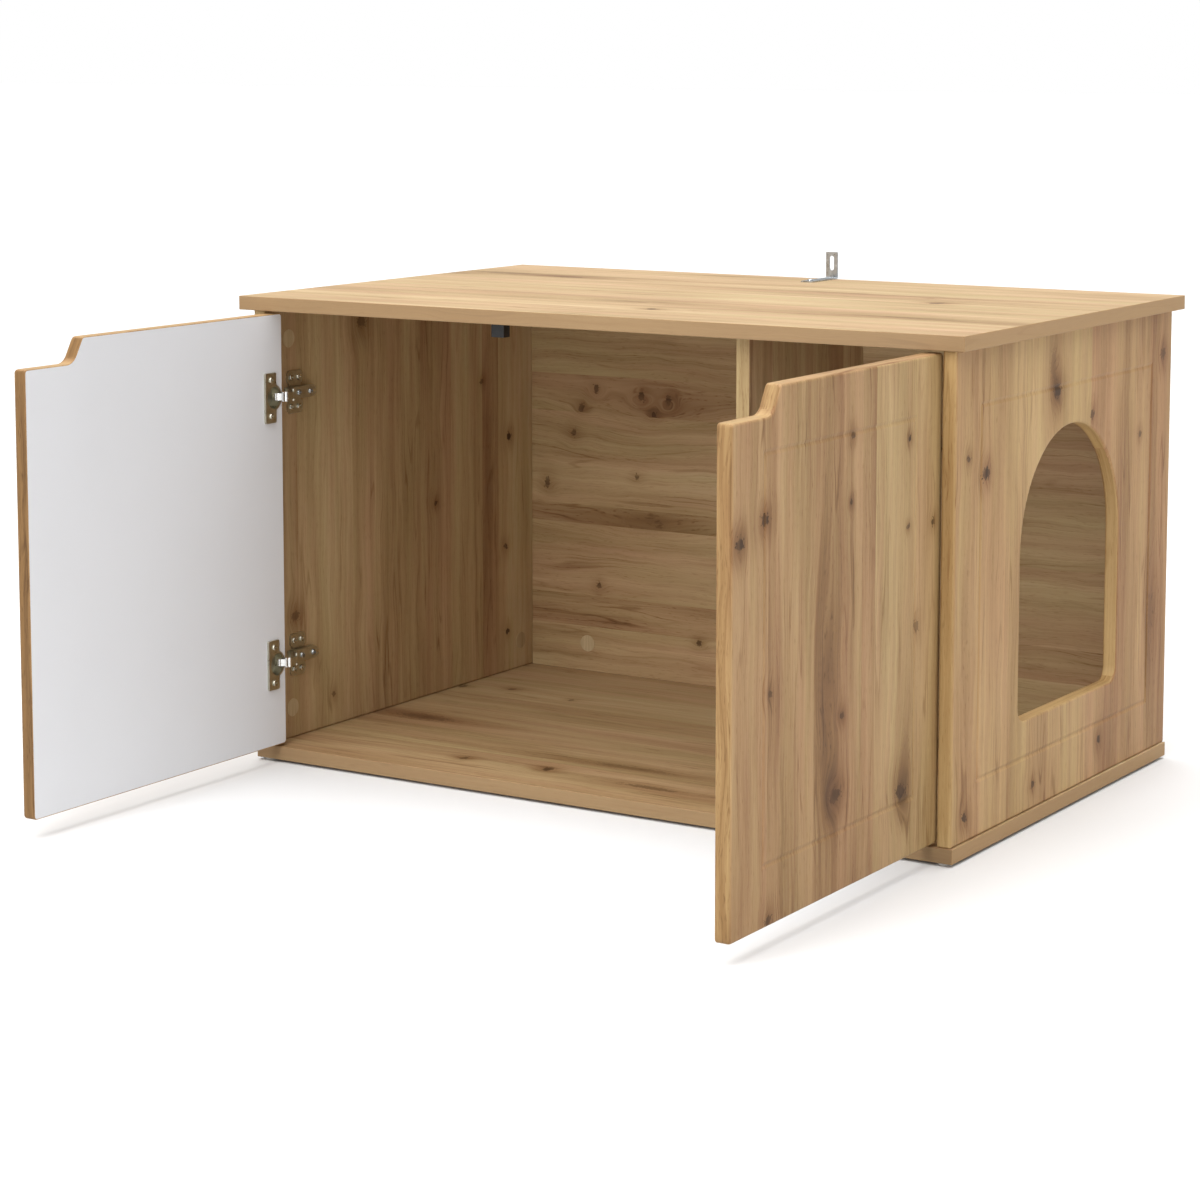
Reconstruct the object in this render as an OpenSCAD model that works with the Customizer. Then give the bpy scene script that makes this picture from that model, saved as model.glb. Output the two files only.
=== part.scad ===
// Cat house: a low two-door cabinet of wood-effect boards with an arched cat entrance in its right
// side, a half-deep partition behind the doors and two inset doors on mini concealed hinges.
// Millimetres, +Z up, floor at Z = 0, doors facing -Y and drawn open.

/* [Cabinet] */
// Width of the top panel
top_w = 860; // [760:1:1200]
// Depth of the top panel
top_d = 550; // [500:1:700]
// Height from the floor to the upper face of the top panel
total_h = 510; // [480:1:700]
// Thickness of the top, bottom, side, back and partition boards
board_t = 15; // [15:1:18]
// Reach of the top panel past the outer face of each side panel
top_side_reach = 12; // [4:1:30]
// Reach of the top panel past the front edge of the side panels
top_front_reach = 10; // [4:1:30]
// Reach of the top panel past the back edge of the side panels
top_back_reach = 5; // [0:1:20]
// Reach of the bottom panel past the outer face of each side panel
bottom_side_reach = 2; // [0:0.5:10]
// Reach of the bottom panel past the front edge of the side panels
bottom_front_reach = 1; // [0:0.5:5]
// Rounding of the edges of the top, bottom, back and partition boards
board_edge_r = 0.8; // [0.4:0.1:2]
// Rounding of the edges of the two side panels
side_edge_r = 2.5; // [1:0.5:5]

/* [Partition] */
// Clear width of the entry corridor between the partition and the right side panel
corridor_w = 217; // [190:1:280]
// Depth of the partition, front to back
partition_d = 243; // [200:1:300]
// Gap between the closed right door and the partition
partition_gap = 2; // [1:0.5:5]

/* [Cat entrance] */
// Width of the arched entrance
entrance_w = 245; // [180:1:260]
// Height of the entrance from its sill to the top of the arch
entrance_h = 286; // [220:1:300]
// Height of the sill above the bottom panel
entrance_sill = 94; // [60:1:120]
// Distance from the side panel's front edge to the entrance
entrance_front = 150; // [120:1:200]
// Radius of the entrance's lower corners
entrance_corner_r = 15; // [8:1:40]

/* [Doors] */
// Thickness of the doors
door_t = 15; // [15:0.5:16]
// Gap between a door and the side panel it hangs on
door_side_gap = 2; // [1.5:0.5:3]
// Gap between the two closed doors
door_centre_gap = 2; // [1:0.5:5]
// Gap between a door and the top and bottom panels
door_end_gap = 3; // [2:0.5:6]
// Angle at which both doors are drawn open
door_angle = 90; // [0:1:95]
// Rounding of the doors' outer edges
door_outer_r = 3; // [1:0.5:3.5]
// Rounding of the doors' inner edges
door_inner_r = 1; // [0.5:0.5:2]
// Rounding of the doors' corners seen from the front
door_corner_r = 4; // [4:0.5:8]
// Depth of the hand notch below the door's upper edge
notch_depth = 25.5; // [15:0.5:40]
// Length of the notch from the free edge to the foot of its slope
notch_length = 69; // [40:1:120]
// Steepness of the notch's slope
notch_slope = 60; // [40:1:80]
// Hollow radius at the foot of the notch's slope
notch_foot_r = 16; // [6:1:20]
// Rounding at the head of the notch's slope
notch_head_r = 5; // [4:0.5:8]

/* [Routed frame line] */
// Distance from a panel's edge to the middle of the routed line
line_inset = 56; // [30:1:80]
// Width of the routed line
line_w = 6; // [3:0.5:10]
// Depth of the routed line
line_depth = 1; // [0.5:0.1:2]

/* [Hinges] */
// Diameter of the hinge cup
cup_d = 26; // [26:0.5:28]
// Depth of the cup's bore in the door
cup_depth = 11; // [11:0.5:12]
// Distance from the door's hinge edge to the cup's bore
cup_edge_gap = 3; // [3:0.5:4]
// Distance of each hinge from the door's upper or lower edge
hinge_end = 90; // [70:1:120]
// Width of the cup's flange strip
flange_w = 18; // [16:0.5:20]
// Height of the cup's flange strip
flange_h = 54; // [50:1:60]
// Thickness of the cup's flange strip
flange_t = 2.6; // [1.5:0.1:3]
// Distance between the two screws of the flange
flange_pitch = 39; // [36:0.5:42]
// Height of the mounting plate on the side panel
plate_h = 47; // [44:1:54]
// Distance between the upper and lower screws of the mounting plate
plate_pitch = 32; // [30:1:34]
// Thickness of the mounting plate's wings
wing_t = 2; // [1.5:0.1:2.5]
// Height of the mounting plate's rib above its wings
rib_h = 6.6; // [6:0.2:8]
// Width of the hinge arm on the mounting plate
arm_w = 13; // [12:0.5:15]
// Thickness of the hinge arm's sheet
arm_t = 1.6; // [1.2:0.1:2]
// Width of the arm's nose between the cheeks of the link
nose_w = 7.6; // [7:0.2:8]

/* [Fittings] */
// Height of the foot glides
foot_h = 3; // [3:0.5:10]
// Diameter of the foot glides
foot_d = 16; // [14:1:24]
// Distance from the bottom panel's edges to the middle of a glide
foot_inset = 12; // [12:1:40]
// Width of the door stop block
stop_w = 15.7; // [12:0.1:20]
// Depth of the door stop block
stop_d = 12; // [10:0.5:16]
// Height of the door stop block
stop_h = 16; // [12:0.5:20]
// Distance of the door stop from the middle of the cabinet
stop_x = 111; // [40:1:200]
// Width of the wall bracket
bracket_w = 15; // [15:0.5:20]
// Length of the wall bracket's leg on the top panel
bracket_leg = 62; // [50:1:80]
// Height of the wall bracket's upright leg
bracket_h = 31; // [28:1:45]
// Thickness of the wall bracket's sheet
bracket_t = 1.5; // [1.2:0.1:2]
// Length of the wall bracket's upright slot
slot_length = 17; // [12:0.5:18]
// Width of the wall bracket's upright slot
slot_w = 5.6; // [5:0.1:6.5]
// Diameter of the cam discs
cam_d = 15; // [12:1:15]
// Distance from the end of a board to its cam discs
cam_reach = 34; // [30:1:40]
// Distance from the edge of a board to its nearest cam disc
cam_inset = 41; // [35:1:60]
// Diameter of the cam covers
cover_d = 20; // [18:1:24]
// Diameter of the wooden dowels
dowel_d = 8; // [6:1:8]
// Length of the wooden dowels
dowel_length = 30; // [26:1:34]
// Distance between a dowel and its neighbouring cam bolt
dowel_pitch = 32; // [24:1:48]

/* [Hidden] */
$fn = 64;

// Fits
fit = 0.1;
running_fit = 0.08;
body_gap = 0.3;
cut = 1;

// Carcass, with Y measured from the top panel's front edge before the shift to the origin
side_x = top_w / 2 - top_side_reach;
inner_x = side_x - board_t;
front_y = top_front_reach;
back_y = top_d - top_back_reach;
side_d = back_y - front_y;
floor_z = foot_h + board_t;
ceiling_z = total_h - board_t;
side_h = ceiling_z - floor_z;
bottom_w = 2 * (side_x + bottom_side_reach);
bottom_d = side_d + bottom_front_reach;
partition_x = inner_x - corridor_w - board_t;
partition_y = front_y + door_t + partition_gap;
back_inner_y = back_y - board_t;

// Doors and the axis they turn on
door_w = inner_x - door_side_gap - door_centre_gap / 2;
door_z = floor_z + door_end_gap;
door_h = side_h - 2 * door_end_gap;
axis_inset = 3.7;
axis_s = door_side_gap + axis_inset;
open_free_y = front_y + 2 * axis_inset - door_w;
corner_steps = 4;
foot_steps = 8;
rim_steps = 4;
origin_y = (top_d + open_free_y) / 2;

// Hinge cup, with u from the door's hinge edge
cup_r = cup_d / 2;
cup_u = cup_edge_gap + cup_r;
cup_wall = 0.8;
flange_offset = 6.4;
flange_u = cup_u + flange_offset;
flange_corner_r = 1.5;
rim_w = 1.4;
rim_t = 0.6;

// Link, with s from the side panel inwards and t back from the closed doors' outer face
pivot_s = door_side_gap + 19.7;
pivot_t = door_t - 7;
link_u = 7.9;
link_depth = 2.6;
link_bow = 2;
link_t = 1.4;
link_tip_w = 7.6;
link_steps = 20;
web_start = 5;
shoulder_end = 9;
pin_r = 1.1;
eye_r = 1.8;
cheek_gap = 0.4;
cheek_t = 1;
cheek_rim = 0.4;

// Arm and mounting plate: the arm's path starts at the pivot and comes down onto the plate's rib
NOSE_PATH = [[0, 0], [0.6, 6], [0.3, 11], [-2.6, 16]];
SHANK_PATH = [[3.5, 22.5], [0.7, 25.5], [0, 29]];
arm_lip_t = 1.2;
arm_lip_h = rib_h / 2;
arm_s = wing_t + rib_h + arm_t / 2;
rib_w = arm_w - 2 * (arm_lip_t + body_gap);
rib_lead = 2;
spine_margin = 1;
spine_lead = 4;
spine_corner_r = 2;
wing_h = 15;
wing_corner_r = 5;
waist_inset = 3;
waist_end = 6;
plate_front = door_t + 21;
plate_d = 26;
plate_back = plate_front + plate_d;
arm_back = plate_back + 14;
SCREW_T = [plate_front + 6, plate_front + 19];
clamp_t = arm_back - 10;
adjust_t = plate_front + 10;

// Screws and nails
screw_r = 1.6;
head_r = 3.4;
head_h = 2;
cross_w = 0.8;
screw_bite = 11;
tip_gap = 1;
nail_r = 1;
nail_head_r = 3;
nail_head_h = 0.8;
nail_recess = 1.4;
nail_bite = 11;
foot_chamfer = 1;

// Places of the door stop and the wall bracket's screw and slot
stop_y = front_y + door_t + body_gap;
stop_mid_y = stop_y + stop_d / 2;
stop_recess = 4;
stop_edge_r = 0.8;
bracket_hole_y = top_d - bracket_leg + 9;
bracket_bend_r = bracket_t * 1.5;
slot_z = total_h + bracket_h - 4.3 - slot_length / 2;

// Cam fittings and dowels: a place is [position across the board, position along its edge]
cam_r = cam_d / 2;
cam_depth = 12.5;
bolt_bite = 11;
bolt_r = 3;
bolt_shank_r = 2.2;
bolt_head_r = 3.3;
bolt_head_h = 2.5;
cam_slot_w = 1.6;
cam_slot_depth = 1;
cover_t = 0.4;
dowel_bite = 11;
side_mid_x = inner_x + board_t / 2;
back_mid_y = back_inner_y + board_t / 2;
partition_mid_x = partition_x + board_t / 2;
partition_back_y = partition_y + partition_d;
back_cam_x = 322;
// A joint is [x, y, turn]: the turn points the cam's open face away from its board
CAM_JOINTS = concat(
    [for (y = [front_y + cam_inset, back_y - cam_inset]) [-side_mid_x, y, 0]],
    [for (y = [front_y + cam_inset, back_y - cam_inset]) [side_mid_x, y, 180]],
    [for (x = [-back_cam_x, back_cam_x]) [x, back_mid_y, -90]],
    [for (y = [partition_y + cam_inset, partition_back_y - cam_inset]) [partition_mid_x, y, 180]]);
DOWEL_PLACES = concat(
    [for (x = [-side_mid_x, side_mid_x], y = [front_y + cam_inset + dowel_pitch,
        back_y - cam_inset - dowel_pitch]) [x, y]],
    [for (side = [-1, 1]) [side * (back_cam_x - dowel_pitch), back_mid_y]],
    [for (y = [partition_y + cam_inset + dowel_pitch, partition_back_y - cam_inset - dowel_pitch])
        [partition_mid_x, y]]);
FOOT_PLACES = [for (side = [-1, 1], y = [front_y - bottom_front_reach + foot_inset, back_y - foot_inset])
    [side * (bottom_w / 2 - foot_inset), y]];
WOOD = "burlywood";

// Frames that pieces are drawn in
module in_cabinet() { translate([0, -origin_y, 0]) children(); }

module on_side(side) { mirror([side == "right" ? 1 : 0, 0, 0]) children(); }

function hinge_z(level) = level == "upper" ? door_z + door_h - hinge_end : door_z + hinge_end;

module hinge_frame(side, level)
    in_cabinet() on_side(side) translate([-inner_x, front_y, hinge_z(level)]) children();

// The door's own frame: X from its hinge edge, Y from its outer face, drawn turned by door_angle
module door_frame(side)
    in_cabinet() on_side(side)
        translate([axis_s - inner_x, front_y + axis_inset, 0])
            rotate([0, 0, -door_angle])
                translate([-axis_inset, -axis_inset, 0]) children();

// Board shapes
module rounded_rect(w, h, r) {
    translate([r, 0]) square([w - 2 * r, h]);
    translate([0, r]) square([w, h - 2 * r]);
    for (x = [r, w - r], y = [r, h - r]) translate([x, y]) circle(r);
}

module board(w, d, h, r)
    intersection() {
        linear_extrude(h) rounded_rect(w, d, r);
        translate([0, d, 0]) rotate([90, 0, 0]) linear_extrude(d) rounded_rect(w, h, r);
        rotate([90, 0, 90]) linear_extrude(w) rounded_rect(d, h, r);
    }

// V-shaped ring cut into a face at Z = 0, open upwards
module routed_ring(w, h) {
    half = line_w / 2 * (1 + cut / line_depth);
    rect = function (grow, z) [[-grow, -grow, z], [w + grow, -grow, z], [w + grow, h + grow, z],
        [-grow, h + grow, z]];
    corners = concat(rect(half, cut), rect(0, -line_depth), rect(-half, cut));
    side_faces = function (a, b) [for (i = [0:3]) [a + i, a + (i + 1) % 4, b + (i + 1) % 4, b + i]];
    polyhedron(corners, concat(side_faces(0, 4), side_faces(4, 8), side_faces(8, 0)));
}

// Polygon helpers: a rounded corner, an outline moved inwards, and a bent strip of even thickness
function unit(v) = v / norm(v);
function rounded_corner(before, corner, after, r, steps) =
    let (a = unit(before - corner), b = unit(after - corner),
        half = acos(a * b) / 2, centre = corner + unit(a + b) * r / sin(half),
        p = corner + a * r / tan(half) - centre, q = corner + b * r / tan(half) - centre,
        turn = atan2(p.x * q.y - p.y * q.x, p * q))
    [for (i = [0:steps]) let (g = turn * i / steps)
        centre + [p.x * cos(g) - p.y * sin(g), p.x * sin(g) + p.y * cos(g)]];
function left_of(v) = [-v.y, v.x];
function moved_in(outline, by) = let (n = len(outline)) [for (i = [0:n - 1])
    let (a = left_of(unit(outline[i] - outline[(i + n - 1) % n])),
        b = left_of(unit(outline[(i + 1) % n] - outline[i])))
    outline[i] + by * (a + b) / (1 + a * b)];
function strip_side(path, by) = let (n = len(path)) [for (i = [0:n - 1])
    let (a = left_of(unit(path[max(i, 1)] - path[max(i, 1) - 1])),
        b = left_of(unit(path[min(i, n - 2) + 1] - path[min(i, n - 2)])))
    path[i] + by * (a + b) / (1 + a * b)];
function reversed(list) = [for (i = [len(list) - 1:-1:0]) list[i]];
function strip(path, t) = concat(strip_side(path, t / 2), reversed(strip_side(path, -t / 2)));

// Carcass panels
module cam_pockets(joints)
    for (j = joints) {
        for (end = [-1, 1]) translate([j.x, j.y, end > 0 ? ceiling_z : floor_z]) {
            mirror([0, 0, end > 0 ? 1 : 0]) {
                translate([0, 0, -bolt_bite]) cylinder(r = bolt_r + fit, h = bolt_bite + cut);
                cylinder(r = bolt_head_r + fit, h = cam_reach);
                rotate([0, 0, j[2]]) translate([board_t / 2 - cam_depth, 0, cam_reach])
                    rotate([0, 90, 0]) cylinder(r = cam_r + fit, h = cam_depth + cut);
            }
        }
    }

module dowel_pockets(places)
    for (p = places, z = [floor_z - dowel_bite, ceiling_z + dowel_bite - dowel_length])
        translate([p.x, p.y, z]) cylinder(r = dowel_d / 2 + fit, h = dowel_length);

module top_panel()
    color(WOOD) in_cabinet() difference() {
        translate([-top_w / 2, 0, ceiling_z]) board(top_w, top_d, board_t, board_edge_r);
        cam_pockets(CAM_JOINTS);
        dowel_pockets(DOWEL_PLACES);
        translate([0, bracket_hole_y, total_h - screw_bite])
            cylinder(r = screw_r + fit, h = screw_bite + cut);
        translate([-stop_x, stop_mid_y, ceiling_z - cut])
            cylinder(r = screw_r + fit, h = screw_bite + cut);
    }

module bottom_panel()
    color(WOOD) in_cabinet() difference() {
        translate([-bottom_w / 2, front_y - bottom_front_reach, foot_h])
            board(bottom_w, bottom_d, board_t, board_edge_r);
        cam_pockets(CAM_JOINTS);
        dowel_pockets(DOWEL_PLACES);
        for (p = FOOT_PLACES) translate([p.x, p.y, foot_h - cut])
            cylinder(r = nail_r + fit, h = nail_bite + cut + fit);
    }

// A side panel on the left; its outer face carries the routed line
module side_board()
    difference() {
        translate([-side_x, front_y, floor_z]) board(board_t, side_d, side_h, side_edge_r);
        translate([-side_x, front_y + line_inset, floor_z + line_inset])
            rotate([90, 0, -90]) mirror([1, 0, 0])
                routed_ring(side_d - 2 * line_inset, side_h - 2 * line_inset);
        for (level = ["upper", "lower"], t = SCREW_T, end = [-1, 1])
            translate([-inner_x - screw_bite, front_y + t, hinge_z(level) + end * plate_pitch / 2])
                rotate([0, 90, 0]) cylinder(r = screw_r + fit, h = screw_bite + cut);
        cam_pockets([for (j = CAM_JOINTS) if (j.x < -inner_x) j]);
        dowel_pockets([for (p = DOWEL_PLACES) if (p.x < -inner_x) p]);
    }

module left_side_panel() color(WOOD) in_cabinet() side_board();

// Section of the entrance's cutter: straight through the board, flared over the rounded edges
module entrance_section(reach)
    difference() {
        translate([0, -cut]) square([reach + side_edge_r, board_t + 2 * cut]);
        translate([reach, side_edge_r]) square([side_edge_r + cut, board_t - 2 * side_edge_r]);
        for (y = [side_edge_r, board_t - side_edge_r])
            translate([reach + side_edge_r, y]) circle(side_edge_r);
    }

// The entrance's cutter lies in X and Y with its sill along X, and goes up through the board
module entrance_cutter() {
    r = entrance_w / 2;
    c = entrance_corner_r;
    translate([0, entrance_h - r, 0]) rotate_extrude(angle = 180) entrance_section(r);
    for (turn = [0, 1]) mirror([turn, 0, 0]) {
        translate([0, entrance_h - r, 0]) rotate([90, 0, 0])
            linear_extrude(entrance_h - r - c) entrance_section(r);
        translate([r - c, c, 0]) rotate([0, 0, -90]) rotate_extrude(angle = 90) entrance_section(c);
        translate([0, c, 0]) rotate([0, 0, -90]) rotate([90, 0, 0])
            mirror([0, 0, 1]) linear_extrude(r - c) entrance_section(c);
    }
}

module right_side_panel()
    color(WOOD) in_cabinet() difference() {
        on_side("right") side_board();
        translate([inner_x, front_y + entrance_front + entrance_w / 2, floor_z + entrance_sill])
            rotate([90, 0, 90]) entrance_cutter();
    }

module back_panel()
    color(WOOD) in_cabinet() difference() {
        translate([-inner_x, back_inner_y, floor_z]) board(2 * inner_x, board_t, side_h, board_edge_r);
        cam_pockets([for (j = CAM_JOINTS) if (j.y > back_inner_y) j]);
        dowel_pockets([for (p = DOWEL_PLACES) if (p.y > back_inner_y) p]);
    }

module partition_panel()
    color(WOOD) in_cabinet() difference() {
        translate([partition_x, partition_y, floor_z]) board(board_t, partition_d, side_h, board_edge_r);
        cam_pockets([for (j = CAM_JOINTS) if (j.x == partition_mid_x) j]);
        dowel_pockets([for (p = DOWEL_PLACES) if (p.x == partition_mid_x) p]);
    }

// Doors: the outline in the door's own X and Z, with the hand notch at the upper free corner
function door_outline() =
    let (h = door_h, w = door_w, ledge = h - notch_depth, foot = [w - notch_length, ledge],
        head = [w - notch_length - notch_depth / tan(notch_slope), h], r = door_corner_r)
    concat(
        rounded_corner([0, h], [0, 0], [w, 0], r, corner_steps),
        rounded_corner([0, 0], [w, 0], [w, ledge], r, corner_steps),
        rounded_corner([w, 0], [w, ledge], foot, r, corner_steps),
        rounded_corner([w, ledge], foot, head, notch_foot_r, foot_steps),
        rounded_corner(foot, head, [0, h], notch_head_r, corner_steps),
        rounded_corner(head, [0, h], [0, 0], r, corner_steps));

// Solid between an outline and its copy door_t further, with both rims rounded over
module rounded_slab(outline, t, r_first, r_last, steps) {
    n = len(outline);
    levels = concat(
        [for (i = [0:steps]) let (g = 90 * i / steps)
            [r_first * (1 - sin(g)), r_first * (1 - cos(g))]],
        [for (i = [steps:-1:0]) let (g = 90 * i / steps)
            [r_last * (1 - sin(g)), t - r_last * (1 - cos(g))]]);
    last = len(levels) - 1;
    corners = [for (l = levels) for (p = moved_in(outline, l[0])) [p.x, p.y, l[1]]];
    walls = [for (k = [0:last - 1], i = [0:n - 1]) let (a = k * n + i, b = k * n + (i + 1) % n)
        each [[a, a + n, b], [b, a + n, b + n]]];
    middle = [for (k = [0, 1]) (min([for (p = outline) p[k]]) + max([for (p = outline) p[k]])) / 2];
    caps = [for (i = [0:n - 1]) let (b = (i + 1) % n)
        each [[i, b, (last + 1) * n], [last * n + b, last * n + i, (last + 1) * n + 1]]];
    polyhedron(concat(corners, [[middle.x, middle.y, 0], [middle.x, middle.y, t]]), concat(walls, caps),
        convexity = 4);
}

module door(side)
    color(WOOD) door_frame(side) difference() {
        translate([0, 0, door_z]) rotate([90, 0, 0]) mirror([0, 0, 1])
            rounded_slab(door_outline(), door_t, door_outer_r, door_inner_r, rim_steps);
        translate([line_inset, 0, door_z + line_inset]) rotate([90, 0, 0])
            routed_ring(door_w - 2 * line_inset, door_h - 2 * line_inset);
        for (level = ["upper", "lower"]) translate([0, door_t, hinge_z(level)]) rotate([90, 0, 0]) {
            translate([cup_u, 0, -cut]) cylinder(r = cup_r, h = cup_depth + cut);
            for (end = [-1, 1]) translate([flange_u, end * flange_pitch / 2, -cut])
                cylinder(r = screw_r + fit, h = screw_bite + cut);
        }
    }

module left_door() door("left");
module right_door() door("right");

// Hinge cup in the door's frame: a pressed cup with a flange strip screwed to the door's inner face
module hinge_cup(side, level)
    color("dimgray") door_frame(side) translate([0, door_t, hinge_z(level)]) rotate([90, 0, 0]) {
        difference() {
            union() {
                translate([cup_u, 0, -rim_t]) cylinder(r = cup_r + rim_w, h = rim_t);
                translate([cup_u, 0, 0]) cylinder(r = cup_r - fit, h = cup_depth - fit);
                translate([flange_u - flange_w / 2, -flange_h / 2, -flange_t])
                    linear_extrude(flange_t) rounded_rect(flange_w, flange_h, flange_corner_r);
            }
            translate([cup_u, 0, -flange_t - cut])
                cylinder(r = cup_r - fit - cup_wall, h = flange_t + cut + cup_depth - fit - cup_wall);
            for (end = [-1, 1]) translate([flange_u, end * flange_pitch / 2, -flange_t - cut])
                cylinder(r = screw_r + fit, h = flange_t + 2 * cut);
        }
    }

// Direction of the link from its pivot on the arm to its eye in the cup, with the doors as drawn
function turned(p, g) = [p.x * cos(g) - p.y * sin(g), p.x * sin(g) + p.y * cos(g)];
eye_closed = [door_side_gap + link_u, door_t - link_depth];
axis_point = [axis_s, axis_inset];
eye_open = axis_point + turned(eye_closed - axis_point, -door_angle);
link_v = eye_open - [pivot_s, pivot_t];
link_length = norm(link_v);
link_turn = atan2(link_v.y, link_v.x);

// Link: a web bowed round the door's edge, with a rolled eye in the cup and two cheeks that straddle
// the arm's nose; X runs from its pivot on the arm to its eye
function link_path(from, to) = [for (i = [from:to]) let (f = i / link_steps)
    [link_length * f, 4 * link_bow * f * (1 - f)]];
module hinge_link(side, level) {
    half = nose_w / 2 + cheek_gap;
    web = strip(link_path(web_start, link_steps), link_t);
    shoulder = strip(link_path(web_start, shoulder_end), link_t);
    cheek = strip(link_path(0, shoulder_end), 2 * eye_r - cheek_rim);
    color("whitesmoke") hinge_frame(side, level) translate([pivot_s, pivot_t, 0]) rotate([0, 0, link_turn])
        difference() {
            union() {
                translate([link_length, 0, -link_tip_w / 2]) cylinder(r = eye_r, h = link_tip_w);
                translate([0, 0, -link_tip_w / 2]) linear_extrude(link_tip_w) polygon(web);
                translate([0, 0, -half - cheek_t]) linear_extrude(2 * (half + cheek_t)) polygon(shoulder);
                for (end = [0, 1]) mirror([0, 0, end]) translate([0, 0, half]) {
                    cylinder(r = eye_r + cheek_rim, h = cheek_t);
                    linear_extrude(cheek_t) polygon(cheek);
                }
            }
            translate([0, 0, -half - cheek_t - cut])
                cylinder(r = pin_r + running_fit, h = 2 * (half + cheek_t + cut));
        }
}

// Arm: a bent sheet from the pivot nose over the mounting plate's rib, with a lip down each side and
// a slot that is open at the back for the clamp screw
module hinge_arm(side, level) {
    nose = [for (p = NOSE_PATH) [pivot_s, pivot_t] + p];
    shank = concat([nose[len(nose) - 1]], [for (p = SHANK_PATH) [arm_s, pivot_t] + p],
        [[arm_s, arm_back - arm_w / 2]]);
    lip_front = shank[len(shank) - 2].y;
    color("dimgray") hinge_frame(side, level) difference() {
        union() {
            translate([0, 0, -nose_w / 2]) linear_extrude(nose_w) polygon(strip(nose, arm_t));
            translate([pivot_s, pivot_t, -nose_w / 2]) cylinder(r = eye_r, h = nose_w);
            translate([0, 0, -arm_w / 2]) linear_extrude(arm_w) polygon(strip(shank, arm_t));
            translate([arm_s - arm_t / 2, arm_back - arm_w / 2, 0]) rotate([0, 90, 0])
                cylinder(r = arm_w / 2, h = arm_t);
            for (end = [0, 1]) mirror([0, 0, end])
                translate([arm_s - arm_t / 2 - arm_lip_h, lip_front, arm_w / 2 - arm_lip_t])
                    cube([arm_lip_h + arm_t / 2, arm_back - arm_w / 2 - lip_front, arm_lip_t]);
        }
        translate([pivot_s, pivot_t, -nose_w]) cylinder(r = pin_r + fit / 2, h = 2 * nose_w);
        for (t = [clamp_t, adjust_t]) translate([arm_s - arm_t, t, 0]) rotate([0, 90, 0])
            cylinder(r = screw_r + fit, h = 2 * arm_t);
        translate([arm_s - arm_t, clamp_t, -screw_r - fit])
            cube([2 * arm_t, arm_back - clamp_t + cut, 2 * (screw_r + fit)]);
    }
}

// Mounting plate: a butterfly plate with two pairs of screw wings and a rib that carries the arm
module mounting_plate(side, level)
    color("gray") hinge_frame(side, level) difference() {
        union() {
            rotate([90, 0, 90]) linear_extrude(wing_t) {
                for (z = [-plate_h / 2, plate_h / 2 - wing_h])
                    translate([plate_front, z]) rounded_rect(plate_d, wing_h, wing_corner_r);
                translate([plate_front + waist_inset, waist_end - plate_h / 2])
                    square([plate_d - 2 * waist_inset, plate_h - 2 * waist_end]);
                translate([plate_front - spine_lead, -rib_w / 2 - spine_margin])
                    rounded_rect(arm_back - plate_front + spine_lead, rib_w + 2 * spine_margin,
                        spine_corner_r);
            }
            translate([wing_t, plate_front - rib_lead, -rib_w / 2])
                cube([rib_h, arm_back - plate_front - rib_lead, rib_w]);
        }
        for (t = SCREW_T, end = [-1, 1])
            translate([-cut, t, end * plate_pitch / 2]) rotate([0, 90, 0])
                cylinder(r = screw_r + fit, h = wing_t + 2 * cut);
        for (t = [clamp_t, adjust_t]) translate([wing_t, t, 0]) rotate([0, 90, 0])
            cylinder(r = screw_r + fit, h = rib_h + cut);
    }

// Screw with a pan head, its head's seat at Z = 0 and its shank downwards
module pan_screw(length) {
    difference() {
        cylinder(r = head_r, h = head_h);
        for (turn = [0, 90]) rotate([0, 0, turn]) translate([-head_r / 2, -cross_w / 2, head_h / 2])
            cube([head_r, cross_w, head_h]);
    }
    translate([0, 0, -length]) cylinder(r = screw_r, h = length);
}

module cup_screws(side)
    color("silver") door_frame(side) for (level = ["upper", "lower"], end = [-1, 1])
        translate([flange_u, door_t + flange_t, hinge_z(level) + end * flange_pitch / 2])
            rotate([-90, 0, 0]) pan_screw(flange_t + screw_bite - tip_gap);

module left_cup_screws() cup_screws("left");
module right_cup_screws() cup_screws("right");

module mounting_plate_screws()
    color("silver") for (side = ["left", "right"], level = ["upper", "lower"])
        hinge_frame(side, level) for (t = SCREW_T, end = [-1, 1])
            translate([wing_t, t, end * plate_pitch / 2]) rotate([0, 90, 0])
                pan_screw(wing_t + screw_bite - tip_gap);

module hinge_arm_screws()
    color("silver") for (side = ["left", "right"], level = ["upper", "lower"])
        hinge_frame(side, level) for (t = [clamp_t, adjust_t])
            translate([arm_s + arm_t / 2, t, 0]) rotate([0, 90, 0]) pan_screw(arm_t + rib_h - tip_gap);

module hinge_pivot_pins()
    color("silver") for (side = ["left", "right"], level = ["upper", "lower"])
        hinge_frame(side, level) translate([pivot_s, pivot_t, -nose_w / 2 - cheek_gap - cheek_t])
            cylinder(r = pin_r, h = nose_w + 2 * (cheek_gap + cheek_t));

// Door stop block under the top panel, its face just behind the closed left door
module door_stop()
    color("black") in_cabinet() difference() {
        translate([-stop_x - stop_w / 2, stop_y, ceiling_z - stop_h])
            board(stop_w, stop_d, stop_h, stop_edge_r);
        translate([-stop_x, stop_mid_y, ceiling_z - stop_h - cut]) {
            cylinder(r = screw_r + fit, h = stop_h + 2 * cut);
            cylinder(r = head_r + fit, h = cut + stop_recess);
        }
    }

module door_stop_screw()
    color("silver") in_cabinet() translate([-stop_x, stop_mid_y, ceiling_z - stop_h + stop_recess])
        mirror([0, 0, 1]) pan_screw(stop_h - stop_recess + screw_bite - tip_gap);

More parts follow.
